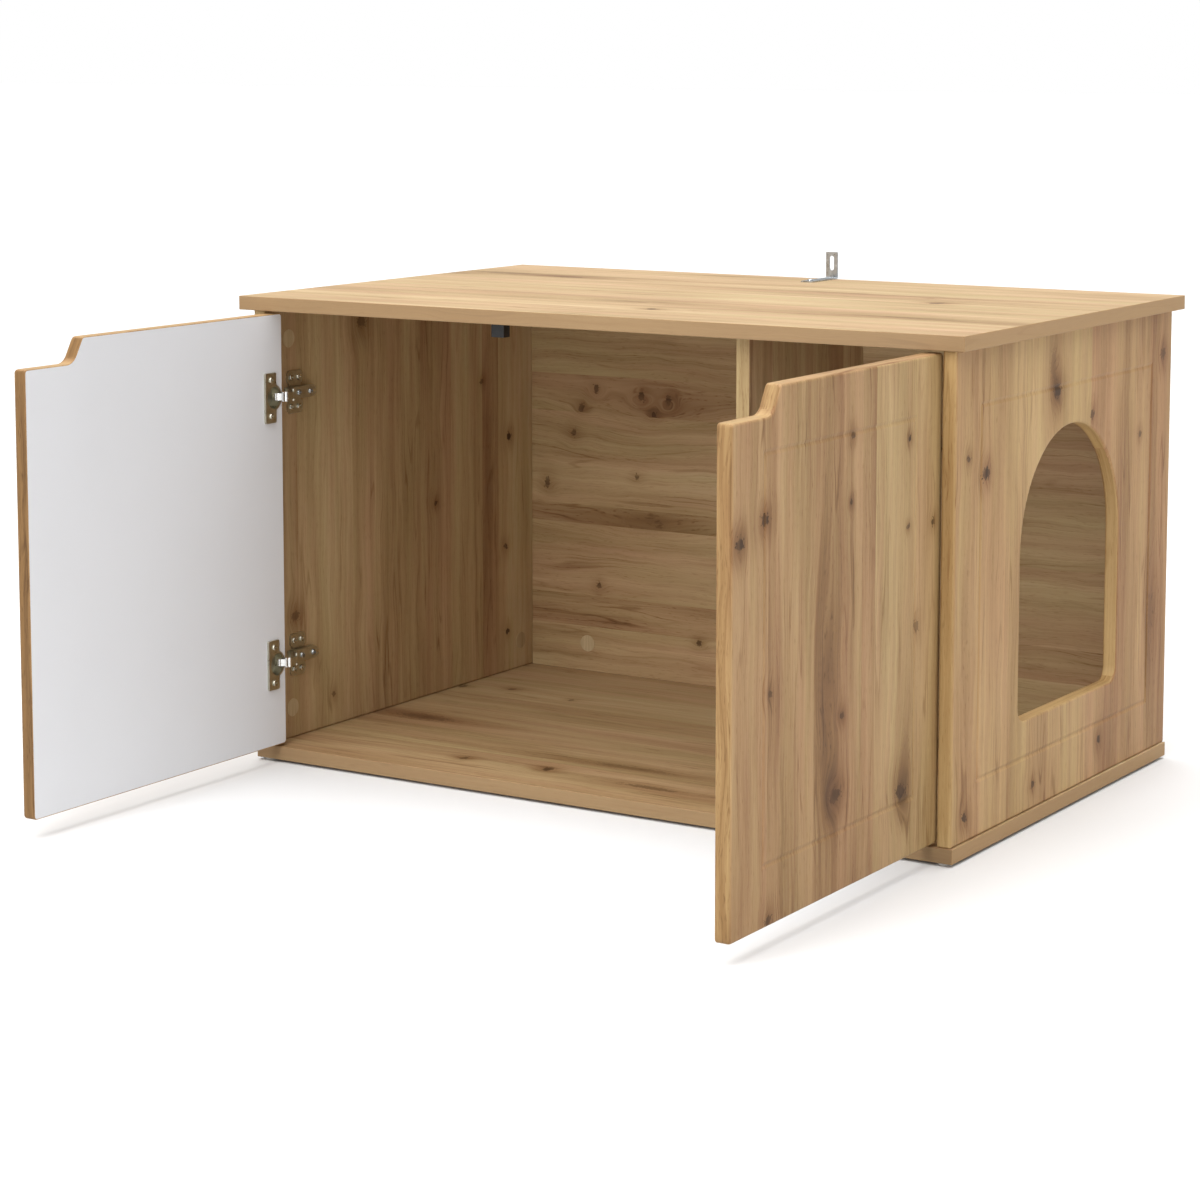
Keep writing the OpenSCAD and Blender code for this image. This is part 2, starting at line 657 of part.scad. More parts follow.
// Wall bracket: a bent strip screwed to the top panel, with a slot for the wall's screw
module wall_bracket() {
    bend = bracket_bend_r;
    color("gainsboro") in_cabinet() difference() {
        translate([-bracket_w / 2, top_d, total_h]) rotate([90, 0, 90]) linear_extrude(bracket_w) {
            translate([-bracket_leg, 0]) square([bracket_leg - bend, bracket_t]);
            translate([-bracket_t, bend]) square([bracket_t, bracket_h - bend]);
            translate([-bend, bend]) intersection() {
                difference() {
                    circle(bend);
                    circle(bend - bracket_t);
                }
                translate([0, -bend]) square(bend);
            }
        }
        translate([0, top_d - bracket_t - cut, slot_z]) rotate([-90, 0, 0]) {
            for (end = [-1, 1]) translate([0, end * (slot_length - slot_w) / 2, 0])
                cylinder(r = slot_w / 2, h = bracket_t + 2 * cut);
            translate([-slot_w / 2, -(slot_length - slot_w) / 2, 0])
                cube([slot_w, slot_length - slot_w, bracket_t + 2 * cut]);
        }
        translate([0, bracket_hole_y, total_h - cut]) cylinder(r = screw_r + fit, h = bracket_t + 2 * cut);
    }
}

module wall_bracket_screw()
    color("silver") in_cabinet() translate([0, bracket_hole_y, total_h + bracket_t])
        pan_screw(bracket_t + screw_bite - tip_gap);

// Foot glides, nailed under the bottom panel's corners
module foot_glides()
    color("whitesmoke") in_cabinet() for (p = FOOT_PLACES) translate([p.x, p.y, 0])
        rotate_extrude() difference() {
            polygon([[nail_r + fit, 0], [foot_d / 2 - foot_chamfer, 0], [foot_d / 2, foot_chamfer],
                [foot_d / 2, foot_h], [nail_r + fit, foot_h]]);
            translate([0, -cut]) square([nail_head_r + fit, nail_recess + cut]);
        }

module foot_nails()
    color("silver") in_cabinet() for (p = FOOT_PLACES) translate([p.x, p.y, 0]) {
        translate([0, 0, nail_recess - nail_head_h]) cylinder(r = nail_head_r, h = nail_head_h);
        translate([0, 0, nail_recess]) cylinder(r = nail_r, h = foot_h - nail_recess + nail_bite);
    }

// Joining pieces inside the boards
module wooden_dowels()
    color("tan") in_cabinet()
        for (p = DOWEL_PLACES, z = [floor_z - dowel_bite, ceiling_z + dowel_bite - dowel_length])
            translate([p.x, p.y, z + fit]) cylinder(r = dowel_d / 2, h = dowel_length - 2 * fit);

module at_cam_joints()
    in_cabinet() for (j = CAM_JOINTS, end = [-1, 1])
        translate([j.x, j.y, end > 0 ? ceiling_z : floor_z]) mirror([0, 0, end > 0 ? 1 : 0])
            rotate([0, 0, j[2]]) children();

module cam_bolts()
    color("silver") at_cam_joints() {
        translate([0, 0, fit - bolt_bite]) cylinder(r = bolt_r, h = bolt_bite - fit);
        cylinder(r = bolt_shank_r, h = cam_reach - bolt_head_r);
        translate([0, 0, cam_reach - bolt_head_r]) cylinder(r = bolt_head_r, h = bolt_head_h);
    }

module cam_discs()
    color("silver") at_cam_joints() difference() {
        translate([board_t / 2 - cam_depth + fit, 0, cam_reach]) rotate([0, 90, 0])
            cylinder(r = cam_r, h = cam_depth - fit);
        cylinder(r = bolt_head_r + fit, h = cam_reach - bolt_head_r + bolt_head_h + fit);
        translate([board_t / 2 - cam_slot_depth, -cam_r / 2, cam_reach - cam_slot_w / 2])
            cube([cam_slot_depth + cut, cam_r, cam_slot_w]);
    }

module cam_covers()
    color(WOOD) at_cam_joints() translate([board_t / 2, 0, cam_reach]) rotate([0, 90, 0])
        cylinder(r = cover_d / 2, h = cover_t);

top_panel();
bottom_panel();
left_side_panel();
right_side_panel();
back_panel();
partition_panel();
left_door();
right_door();
hinge_cup("left", "upper");  // left_upper_hinge_cup
hinge_cup("left", "lower");  // left_lower_hinge_cup
hinge_cup("right", "upper");  // right_upper_hinge_cup
hinge_cup("right", "lower");  // right_lower_hinge_cup
hinge_link("left", "upper");  // left_upper_hinge_link
hinge_link("left", "lower");  // left_lower_hinge_link
hinge_link("right", "upper");  // right_upper_hinge_link
hinge_link("right", "lower");  // right_lower_hinge_link
hinge_arm("left", "upper");  // left_upper_hinge_arm
hinge_arm("left", "lower");  // left_lower_hinge_arm
hinge_arm("right", "upper");  // right_upper_hinge_arm
hinge_arm("right", "lower");  // right_lower_hinge_arm
mounting_plate("left", "upper");  // left_upper_mounting_plate
mounting_plate("left", "lower");  // left_lower_mounting_plate
mounting_plate("right", "upper");  // right_upper_mounting_plate
mounting_plate("right", "lower");  // right_lower_mounting_plate
left_cup_screws();
right_cup_screws();
mounting_plate_screws();
hinge_arm_screws();
hinge_pivot_pins();
door_stop();
door_stop_screw();
wall_bracket();
wall_bracket_screw();
foot_glides();
foot_nails();
wooden_dowels();
cam_bolts();
cam_discs();
cam_covers();
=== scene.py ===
# Cat house: a low cabinet of knotty-oak foil boards with an arched entrance, a partition and two
# inset doors on concealed hinges. Every piece is in metres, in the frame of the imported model.
import math

import bmesh
import bpy
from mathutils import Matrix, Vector


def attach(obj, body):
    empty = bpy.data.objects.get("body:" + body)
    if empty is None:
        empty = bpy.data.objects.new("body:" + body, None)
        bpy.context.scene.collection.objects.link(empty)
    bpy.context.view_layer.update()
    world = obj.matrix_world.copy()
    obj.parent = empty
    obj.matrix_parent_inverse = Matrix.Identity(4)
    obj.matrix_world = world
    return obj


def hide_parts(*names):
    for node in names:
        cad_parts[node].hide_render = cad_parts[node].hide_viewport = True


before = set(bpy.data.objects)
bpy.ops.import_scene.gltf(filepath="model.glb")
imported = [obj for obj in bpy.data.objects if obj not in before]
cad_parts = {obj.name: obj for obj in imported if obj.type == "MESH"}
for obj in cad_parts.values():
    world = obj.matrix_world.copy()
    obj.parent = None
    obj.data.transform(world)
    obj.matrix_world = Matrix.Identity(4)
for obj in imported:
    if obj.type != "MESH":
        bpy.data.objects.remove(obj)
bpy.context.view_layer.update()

# Bottom panel
# A 15 mm particle board under printed oak foil, pressed with a fine pore texture and sealed satin.
# It lies on four glides and carries the sides, the back and the partition on cam bolts and dowels.
MM = 0.001


def linear(colour):
    """An sRGB hex colour as linear RGBA."""
    shares = [int(colour[i:i + 2], 16) / 255 for i in (1, 3, 5)]
    return [s / 12.92 if s <= 0.04045 else ((s + 0.055) / 1.055) ** 2.4 for s in shares] + [1.0]


def add_node(tree, kind, inputs=None, **settings):
    """A node with its settings. An input takes a value, a socket, or a node for its first output."""
    node = tree.nodes.new(kind)
    for key, value in settings.items():
        setattr(node, key, value)
    for key, value in (inputs or {}).items():
        source = value.outputs[0] if isinstance(value, bpy.types.Node) else value
        if isinstance(source, bpy.types.NodeSocket):
            tree.links.new(source, node.inputs[key])
        else:
            node.inputs[key].default_value = source
    return node


def new_group(name, inputs, outputs):
    """An empty shader group with named sockets, and its input and output nodes."""
    tree = bpy.data.node_groups.new(name, "ShaderNodeTree")
    for label, kind in inputs.items():
        tree.interface.new_socket(label, in_out="INPUT", socket_type=kind)
    for label, kind in outputs.items():
        tree.interface.new_socket(label, in_out="OUTPUT", socket_type=kind)
    return tree, tree.nodes.new("NodeGroupInput"), tree.nodes.new("NodeGroupOutput")


def fill_ramp(node, stops, interpolation="LINEAR"):
    """Sets a colour ramp's stops, each a position and a linear colour."""
    ramp = node.color_ramp
    ramp.interpolation = interpolation
    while len(ramp.elements) < len(stops):
        ramp.elements.new(1.0)
    for element, (position, colour) in zip(ramp.elements, stops):
        element.position = position
        element.color = colour


# How fast a knot's core and its halo end along and across the grain
CORE_ALONG, CORE_ACROSS = 1.7, 0.5
HALO_ALONG, HALO_ACROSS = -0.13, -0.11
# How far a knot moves the grain: of the knot's width, and of the place's distance from its middle
PUSH_BY_WIDTH, PUSH_BY_DISTANCE = 1.1, -0.75


def knot_group():
    """One knot in the print: it pushes the grain aside, with a brown halo round a dark, cracked core.
    Places are millimetres along and across the grain, and each output adds to what comes in."""
    plain = "NodeSocketFloat"
    tree, given, result = new_group(
        "oak_knot",
        {"Along": plain, "Across": plain, "Flow": plain, "Halo": plain, "Core": plain, "Knot along": plain,
         "Knot across": plain, "Length": plain, "Width": plain, "Halo strength": plain,
         "Core strength": plain, "Ragged": plain},
        {"Flow": plain, "Halo": plain, "Core": plain})
    port = given.outputs
    step = add_node(tree, "ShaderNodeMath", {0: port["Along"], 1: port["Knot along"]},
                    operation="SUBTRACT")
    aside = add_node(tree, "ShaderNodeMath", {0: port["Across"], 1: port["Knot across"]},
                     operation="SUBTRACT")
    a = add_node(tree, "ShaderNodeMath", {0: step, 1: port["Length"]}, operation="DIVIDE")
    b = add_node(tree, "ShaderNodeMath", {0: aside, 1: port["Width"]}, operation="DIVIDE")
    a2 = add_node(tree, "ShaderNodeMath", {0: a, 1: a}, operation="MULTIPLY")
    b2 = add_node(tree, "ShaderNodeMath", {0: b, 1: b}, operation="MULTIPLY")
    squat = add_node(tree, "ShaderNodeMath", {0: a2, 1: CORE_ALONG}, operation="MULTIPLY")
    reach = add_node(tree, "ShaderNodeMath", {0: b2, 1: CORE_ACROSS, 2: squat}, operation="MULTIPLY_ADD")
    torn = add_node(tree, "ShaderNodeMath", {0: reach, 1: port["Ragged"]}, operation="MULTIPLY")
    core = add_node(tree, "ShaderNodeMapRange", {"Value": torn, "From Min": 1.5, "From Max": 0.6},
                    interpolation_type="SMOOTHSTEP")
    core_part = add_node(tree, "ShaderNodeMath", {0: core, 1: port["Core strength"], 2: port["Core"]},
                         operation="MULTIPLY_ADD")
    wide = add_node(tree, "ShaderNodeMath", {0: b2, 1: HALO_ACROSS}, operation="MULTIPLY")
    spread = add_node(tree, "ShaderNodeMath", {0: a2, 1: HALO_ALONG, 2: wide}, operation="MULTIPLY_ADD")
    halo = add_node(tree, "ShaderNodeMath", {0: spread}, operation="EXPONENT")
    halo_part = add_node(tree, "ShaderNodeMath", {0: halo, 1: port["Halo strength"], 2: port["Halo"]},
                         operation="MULTIPLY_ADD")
    push = add_node(tree, "ShaderNodeMath", {0: aside, 1: halo}, operation="MULTIPLY")
    lift = add_node(tree, "ShaderNodeMath", {0: port["Width"], 1: halo}, operation="MULTIPLY")
    swirl = add_node(tree, "ShaderNodeMath", {0: lift, 1: PUSH_BY_WIDTH, 2: port["Flow"]},
                     operation="MULTIPLY_ADD")
    flow = add_node(tree, "ShaderNodeMath", {0: push, 1: PUSH_BY_DISTANCE, 2: swirl},
                    operation="MULTIPLY_ADD")
    for label, node in (("Flow", flow), ("Halo", halo_part), ("Core", core_part)):
        tree.links.new(node.outputs[0], result.inputs[label])
    return tree


# What a growth line, a pore and a knot's halo each take from the print's tone
LINE_TONE, PORE_TONE, HALO_TONE = -0.2, -0.16, -0.3
# Growth lines in the range of the slow pattern that they follow, and how far the zones' hues differ
GROWTH_LINES, HUE_SPREAD = 7.0, 2.2
# A knot's core: how dark it stays beside its cracks, what a crack adds, and its colour
CORE_LEAST, CRACK_SHARE = 0.45, 0.55
CORE_BROWN = "#46301C"


def figure_group():
    """The print's tone and colour from a place in millimetres along, across and into the board."""
    plain = "NodeSocketFloat"
    tree, given, result = new_group(
        "oak_figure",
        {"Place": "NodeSocketVector", "Tone": plain, "Warmth": plain, "Halo": plain, "Core": plain,
         "Cool tint": "NodeSocketColor", "Warm tint": "NodeSocketColor"},
        {"Color": "NodeSocketColor", "Height": plain, "Roughness": plain})
    port = given.outputs
    # Millimetres along and across the grain that one patch of each pattern spans, and its detail. Real
    # pores are too fine to show, so they are drawn coarser than they are.
    sizes = {"broad": (460, 58, 1), "zone": (330, 19, 2), "streak": (260, 6.5, 2), "fibre": (85, 1.7, 2),
             "contour": (420, 26, 2), "fade": (130, 30, 1), "pore": (11, 1.0, 1)}
    noise = {}
    for name, (length, width, detail) in sizes.items():
        scaled = add_node(tree, "ShaderNodeVectorMath",
                          {0: port["Place"], 1: (1 / length, 1 / width, 1 / width)}, operation="MULTIPLY")
        noise[name] = add_node(tree, "ShaderNodeTexNoise", {"Vector": scaled, "Scale": 1, "Detail": detail})
    tone = port["Tone"]
    weights = ((noise["broad"], 0.5), (noise["zone"], 0.5), (noise["streak"], 0.36), (noise["fibre"], 0.3))
    for node, weight in weights:
        tone = add_node(tree, "ShaderNodeMath", {0: node, 1: weight, 2: tone}, operation="MULTIPLY_ADD")
    middle = 0.5 - sum(weight for node, weight in weights) / 2
    tone = add_node(tree, "ShaderNodeMath", {0: tone, 1: middle}, operation="ADD")
    # Growth lines: thin dark contours of a slow pattern, which fade in and out along their way
    waved = add_node(tree, "ShaderNodeMath", {0: noise["contour"], 1: GROWTH_LINES}, operation="MULTIPLY")
    ridge = add_node(tree, "ShaderNodeMath", {0: waved, 1: 0.5}, operation="PINGPONG")
    line = add_node(tree, "ShaderNodeMapRange", {"Value": ridge, "From Min": 0.12, "From Max": 0.02},
                    interpolation_type="SMOOTHSTEP")
    shown = add_node(tree, "ShaderNodeMapRange", {"Value": noise["fade"], "From Min": 0.42, "From Max": 0.66})
    line_part = add_node(tree, "ShaderNodeMath", {0: line, 1: shown}, operation="MULTIPLY")
    tone = add_node(tree, "ShaderNodeMath", {0: line_part, 1: LINE_TONE, 2: tone}, operation="MULTIPLY_ADD")
    pore = add_node(tree, "ShaderNodeMapRange", {"Value": noise["pore"], "From Min": 0.6, "From Max": 0.75})
    tone = add_node(tree, "ShaderNodeMath", {0: pore, 1: PORE_TONE, 2: tone}, operation="MULTIPLY_ADD")
    tone = add_node(tree, "ShaderNodeMath", {0: port["Halo"], 1: HALO_TONE, 2: tone},
                    operation="MULTIPLY_ADD")
    print_tone = add_node(tree, "ShaderNodeValToRGB", {"Fac": tone})
    fill_ramp(print_tone, [(0.0, linear("#5E432B")), (0.25, linear("#8B6A48")), (0.5, linear("#AC8E69")),
                           (0.75, linear("#C2A680")), (1.0, linear("#D3BC98"))])
    # Warm pinkish and cool yellowish zones that don't follow the tone
    hue_place = add_node(tree, "ShaderNodeVectorMath", {0: port["Place"], 1: (1 / 300, 1 / 24, 1 / 24)},
                         operation="MULTIPLY")
    hue = add_node(tree, "ShaderNodeTexNoise", {"Vector": hue_place, "Scale": 1, "Detail": 2})
    hue_share = add_node(tree, "ShaderNodeMath", {0: hue, 1: HUE_SPREAD, 2: port["Warmth"]},
                         operation="MULTIPLY_ADD")
    warm_share = add_node(tree, "ShaderNodeMapRange", {"Value": hue_share, "From Min": 0.6, "From Max": 1.6})
    tint = add_node(tree, "ShaderNodeMix", {"Factor": warm_share, 6: port["Cool tint"], 7: port["Warm tint"]},
                    data_type="RGBA")
    tinted = add_node(tree, "ShaderNodeMix", {"Factor": 1.0, 6: print_tone, 7: tint.outputs[2]},
                      data_type="RGBA", blend_type="MULTIPLY")
    # Knots: a core broken up by short cracks along the grain
    crack = add_node(tree, "ShaderNodeMapRange", {"Value": noise["fibre"], "From Min": 0.3, "From Max": 0.62})
    dark = add_node(tree, "ShaderNodeMath", {0: crack, 1: CRACK_SHARE, 2: CORE_LEAST},
                    operation="MULTIPLY_ADD")
    core = add_node(tree, "ShaderNodeMath", {0: port["Core"], 1: dark}, operation="MULTIPLY", use_clamp=True)
    finished = add_node(tree, "ShaderNodeMix", {"Factor": core, 6: tinted.outputs[2], 7: linear(CORE_BROWN)},
                        data_type="RGBA")
    # Pressed pores: pits where the print is dark
    height = add_node(tree, "ShaderNodeMath", {0: pore, 1: -1.0, 2: noise["fibre"]}, operation="MULTIPLY_ADD")
    rough = add_node(tree, "ShaderNodeMapRange", {"Value": noise["streak"], "To Min": 0.4, "To Max": 0.56})
    tree.links.new(finished.outputs[2], result.inputs["Color"])
    tree.links.new(height.outputs[0], result.inputs["Height"])
    tree.links.new(rough.outputs[0], result.inputs["Roughness"])
    return tree


OAK_KNOT = knot_group()
OAK_FIGURE = figure_group()
AXES = "XYZ"
# Of the print's place into the board, the share that counts, and where an edge strip's print starts, in mm
DEPTH_SHARE = 0.01
STRIP_OFFSET = 1500.0
# How far the print wanders along and across, in mm, and how much cooler it is on edge strips
WANDER = (10.0, 12.0, 0.0)
EDGE_WARMTH = -0.8
# How far apart in the endless figure two staves' prints and two boards' prints lie, in mm
STAVE_STEP = 4000.0
BOARD_STEP = (2311.0, 517.0, 97.0)
# The print's cool and warm tint: on the doors, and on boards of a greyer batch
TINTS = ("#FBFBE9", "#FFF1EA")
GREY_TINTS = ("#F4FBF1", "#F8F1F1")
# The plain edging of the top and bottom panel, on long edges and on ends, and how far it hides the print
PLAIN_EDGING = ("#977B5A", "#AC895F")
PLAIN_SHARE = 0.8


def oak_foil(name, grain, knots, staves, seed, tone=0.0, edge_tone=0.0, tints=TINTS, edging=()):
    """Knotty-oak foil for one board: satin printed paper, so soft highlights and a figure in long
    streaks. grain is the board's axis along the figure and the axis across it. A knot is (along,
    across, half length, half width, halo, core) and a stave (start across, tone, warmth), with lengths
    in mm. edge_tone lightens or darkens the long edges, and edging's colours cover edges and ends."""
    material = bpy.data.materials.new(name)
    material.use_nodes = True
    tree = material.node_tree
    tree.nodes.clear()
    into = next(a for a in AXES if a not in grain)
    coords = add_node(tree, "ShaderNodeTexCoord")
    in_mm = add_node(tree, "ShaderNodeVectorMath", {0: coords.outputs["Object"], "Scale": 1 / MM},
                     operation="SCALE")
    place = add_node(tree, "ShaderNodeSeparateXYZ", {0: in_mm}).outputs
    facing = add_node(tree, "ShaderNodeSeparateXYZ", {0: coords.outputs["Normal"]}).outputs
    # Each strip of edge banding has its own figure, which lies in the strip's own plane
    end_face = add_node(tree, "ShaderNodeMath", {0: facing[grain[0]]}, operation="ABSOLUTE")
    is_end = add_node(tree, "ShaderNodeMath", {0: end_face, 1: 0.71}, operation="GREATER_THAN")
    edge_face = add_node(tree, "ShaderNodeMath", {0: facing[grain[1]]}, operation="ABSOLUTE")
    is_edge = add_node(tree, "ShaderNodeMath", {0: edge_face, 1: 0.71}, operation="GREATER_THAN")
    thin = {axis: add_node(tree, "ShaderNodeMath", {0: place[axis], 1: DEPTH_SHARE}, operation="MULTIPLY")
            for axis in AXES}
    strip = add_node(tree, "ShaderNodeMath", {0: place[into], 1: STRIP_OFFSET}, operation="ADD")
    on_face = add_node(tree, "ShaderNodeCombineXYZ", {0: place[grain[0]], 1: place[grain[1]], 2: thin[into]})
    on_edge = add_node(tree, "ShaderNodeCombineXYZ", {0: place[grain[0]], 1: strip, 2: thin[grain[1]]})
    on_end = add_node(tree, "ShaderNodeCombineXYZ", {0: place[grain[1]], 1: strip, 2: thin[grain[0]]})
    sided = add_node(tree, "ShaderNodeMix", {"Factor": is_edge, 4: on_face, 5: on_edge}, data_type="VECTOR")
    turned = add_node(tree, "ShaderNodeMix", {"Factor": is_end, 4: sided.outputs[1], 5: on_end},
                      data_type="VECTOR")
    # A slow wander of the print, so that no knot or streak is a clean ellipse or a straight line
    wander_place = add_node(tree, "ShaderNodeVectorMath", {0: turned.outputs[1], 1: (1 / 85, 1 / 30, 1 / 30)},
                            operation="MULTIPLY")
    wander = add_node(tree, "ShaderNodeTexNoise", {"Vector": wander_place, "Scale": 1, "Detail": 2})
    centred = add_node(tree, "ShaderNodeVectorMath", {0: wander.outputs["Color"], 1: (0.5, 0.5, 0.5)},
                       operation="SUBTRACT")
    shift = add_node(tree, "ShaderNodeVectorMath", {0: centred, 1: WANDER}, operation="MULTIPLY")
    moved = add_node(tree, "ShaderNodeVectorMath", {0: turned.outputs[1], 1: shift}, operation="ADD")
    along, across, depth = add_node(tree, "ShaderNodeSeparateXYZ", {0: moved}).outputs
    # Knots, with an edge torn by a noise about 3 mm across
    torn = add_node(tree, "ShaderNodeTexNoise", {"Vector": in_mm, "Scale": 0.35, "Detail": 2})
    ragged = add_node(tree, "ShaderNodeMapRange", {"Value": torn, "From Min": 0.3, "From Max": 0.7,
                                                   "To Min": 0.35, "To Max": 2.2})
    flow, halo, core = across, 0.0, 0.0
    for knot_along, knot_across, length, width, halo_strength, core_strength in knots:
        knot = add_node(tree, "ShaderNodeGroup",
                        {"Along": along, "Across": across, "Flow": flow, "Halo": halo, "Core": core,
                         "Knot along": knot_along, "Knot across": knot_across, "Length": length,
                         "Width": width, "Halo strength": halo_strength, "Core strength": core_strength,
                         "Ragged": ragged}, node_tree=OAK_KNOT)
        flow, halo, core = knot.outputs
    # Staves: strips of the print side by side, each with its own tone, warmth and place in the figure
    straight = add_node(tree, "ShaderNodeSeparateXYZ", {0: turned.outputs[1]}).outputs["Y"]
    first, last = staves[0][0], staves[-1][0]
    share = add_node(tree, "ShaderNodeMapRange", {"Value": straight, "From Min": first, "From Max": last})
    stave = add_node(tree, "ShaderNodeValToRGB", {"Fac": share})
    fill_ramp(stave, [((start - first) / (last - first), (0.5 + stave_tone, 0.5 + warmth, (i * 0.37) % 1, 1))
                      for i, (start, stave_tone, warmth) in enumerate(staves)], "CONSTANT")
    stave_tone, stave_warmth, stave_shift = add_node(tree, "ShaderNodeSeparateColor", {0: stave}).outputs
    shifted = add_node(tree, "ShaderNodeMath", {0: stave_shift, 1: STAVE_STEP, 2: along},
                       operation="MULTIPLY_ADD")
    figure_place = add_node(tree, "ShaderNodeCombineXYZ", {0: shifted, 1: flow, 2: depth})
    board_shift = [seed * step for step in BOARD_STEP]
    seeded = add_node(tree, "ShaderNodeVectorMath", {0: figure_place, 1: board_shift}, operation="ADD")
    rim = add_node(tree, "ShaderNodeMapRange", {"Value": edge_face, "From Min": 0.3, "From Max": 0.8,
                                                "To Max": edge_tone})
    base_tone = add_node(tree, "ShaderNodeMath", {0: rim, 1: tone - 0.5}, operation="ADD")
    full_tone = add_node(tree, "ShaderNodeMath", {0: stave_tone, 1: base_tone}, operation="ADD")
    cooled = add_node(tree, "ShaderNodeMath", {0: is_edge, 1: EDGE_WARMTH, 2: -0.5}, operation="MULTIPLY_ADD")
    warmth = add_node(tree, "ShaderNodeMath", {0: stave_warmth, 1: cooled}, operation="ADD")
    cool_tint, warm_tint = tints
    figure = add_node(tree, "ShaderNodeGroup",
                      {"Place": seeded, "Tone": full_tone, "Warmth": warmth, "Halo": halo, "Core": core,
                       "Cool tint": linear(cool_tint), "Warm tint": linear(warm_tint)}, node_tree=OAK_FIGURE)
    colour = figure.outputs["Color"]
    for on_this, plain in zip((is_edge, is_end), edging):
        covered = add_node(tree, "ShaderNodeMath", {0: on_this, 1: PLAIN_SHARE}, operation="MULTIPLY")
        colour = add_node(tree, "ShaderNodeMix", {"Factor": covered, 6: colour, 7: linear(plain)},
                          data_type="RGBA").outputs[2]
    bump = add_node(tree, "ShaderNodeBump", {"Height": figure.outputs["Height"], "Strength": 0.3,
                                             "Distance": 0.06 * MM})
    shader = add_node(tree, "ShaderNodeBsdfPrincipled",
                      {"Base Color": colour, "Roughness": figure.outputs["Roughness"],
                       "Normal": bump, "IOR": 1.5, "Specular IOR Level": 0.2})
    add_node(tree, "ShaderNodeOutputMaterial", {0: shader})
    return material


def finish_node(name, *materials):
    """Gives a CAD node its materials and returns its object."""
    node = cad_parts[name]
    node.data.materials.clear()
    for material in materials:
        node.data.materials.append(material)
    return node


finish_node("bottom_panel", oak_foil(
    "oak_foil_bottom", "XY", seed=1, tone=0.12, edge_tone=-0.28, tints=GREY_TINTS, edging=PLAIN_EDGING,
    knots=[(-340, 130, 45, 8, 0.9, 0.5), (-340, 306, 5.8, 4, 0.8, 0.8), (-400, 290, 5.8, 4, 0.8, 0.8),
           (-187, -12, 5.8, 4, 0.8, 0.8), (-84, -6, 7.2, 5, 0.9, 0.9), (51, -19, 40, 4, 0.9, 0.5),
           (-12, 45, 60, 5, 1, 0.3), (-247, 294, 4.3, 3, 0.7, 0.8), (280, 200, 8.7, 6, 0.9, 0.9)],
    staves=[(-80, -0.12, 0.1), (20, -0.13, -0.1), (95, 0.02, 0.15), (190, -0.04, 0.0), (260, 0.16, -0.1),
            (350, 0.14, 0.1), (470, 0.0, 0.0)]))

# Side panels
# Two upright boards with the figure running up them and a shallow routed frame line outside. The
# right one has the cat's entrance, whose rim is wrapped in the same foil.
# The right one's foil is of a yellower batch
YELLOW_TINTS = ("#FFFAE2", "#FFECDF")
finish_node("right_side_panel", oak_foil(
    "oak_foil_right_side", "ZY", seed=2, tone=0.05, tints=YELLOW_TINTS,
    knots=[(437, 160, 8.7, 6, 1.2, 1), (462, 148, 22, 6, 0.8, 0.3), (371, -7, 7.2, 5, 1, 1),
           (390, -47, 4.3, 3, 0.8, 0.9), (402, 247, 5.8, 4, 0.9, 0.9), (252, -47, 60, 5, 0.7, 0.1),
           (172, 417, 30, 7, 0.8, 0.2), (56, 279, 5.8, 4, 0.8, 0.9), (42, 112, 4.3, 3, 0.8, 0.9),
           (42, -45, 5.8, 4, 0.9, 0.9), (450, 439, 7.2, 5, 0.9, 0.7), (369, 376, 4.3, 3, 0.7, 0.8)],
    staves=[(-80, 0.06, -0.1), (50, 0.05, -0.2), (172, 0.1, -0.25), (243, -0.03, 0.3), (330, -0.04, 0.1),
            (400, -0.07, 0.25), (470, 0.06, -0.4)]))
finish_node("left_side_panel", oak_foil(
    "oak_foil_left_side", "ZY", seed=3, tone=0.08, tints=GREY_TINTS,
    knots=[(468, 99, 8.7, 6, 0.9, 0.7), (244, 241, 4.3, 3, 0.8, 0.9), (378, 339, 4.3, 3, 0.8, 0.8),
           (308, 396, 5.8, 4, 1, 1), (173, 387, 4.3, 3, 0.9, 0.9), (68, 390, 4.3, 3, 0.8, 0.9),
           (153, -27, 7.2, 5, 0.9, 0.6), (53, 42, 4.3, 3, 0.8, 0.7), (252, 351, 60, 6, 0.45, 0.1)],
    staves=[(-80, 0.0, 0.1), (-20, 0.05, -0.1), (80, -0.02, 0.0), (163, 0.0, -0.1), (211, -0.05, 0.2),
            (273, 0.1, -0.1), (338, 0.02, 0.3), (372, 0.2, -0.1), (470, 0.0, 0.0)]))

# Back and partition
# The back stands between the sides with its figure lying level. The half-deep partition keeps the
# entry corridor apart, and its front edge stops the right door.
finish_node("back_panel", oak_foil(
    "oak_foil_back", "XZ", seed=4, tone=0.11, tints=GREY_TINTS,
    knots=[(-245, 359, 6, 4, 0.35, 0.9), (-209, 357, 5, 4, 0.4, 0.9), (-227, 340, 4.4, 3, 0.5, 0.9),
           (-310, 365, 5, 4, 0.5, 0.8), (-330, 341, 5, 4, 0.6, 0.9), (-379, 246, 5, 5, 0.8, 0.8),
           (-252, 262, 4.3, 3, 0.7, 0.7), (-342, 309, 5, 4, 0.7, 0.7), (-307, 125, 4, 3, 0.8, 0.8),
           (-165, 69, 4.3, 3, 0.8, 0.8), (-240, 205, 40, 9, 0.8, 0.1), (120, 300, 7.2, 5, 1, 0.9),
           (-235, 350, 50, 15, 0.4, 0)],
    staves=[(10, -0.02, 0.0), (72, -0.1, 0.15), (110, 0.02, 0.1), (198, -0.03, 0.0), (222, 0.04, 0.05),
            (335, -0.08, 0.2), (380, 0.04, -0.1), (500, 0.0, 0.0)]))
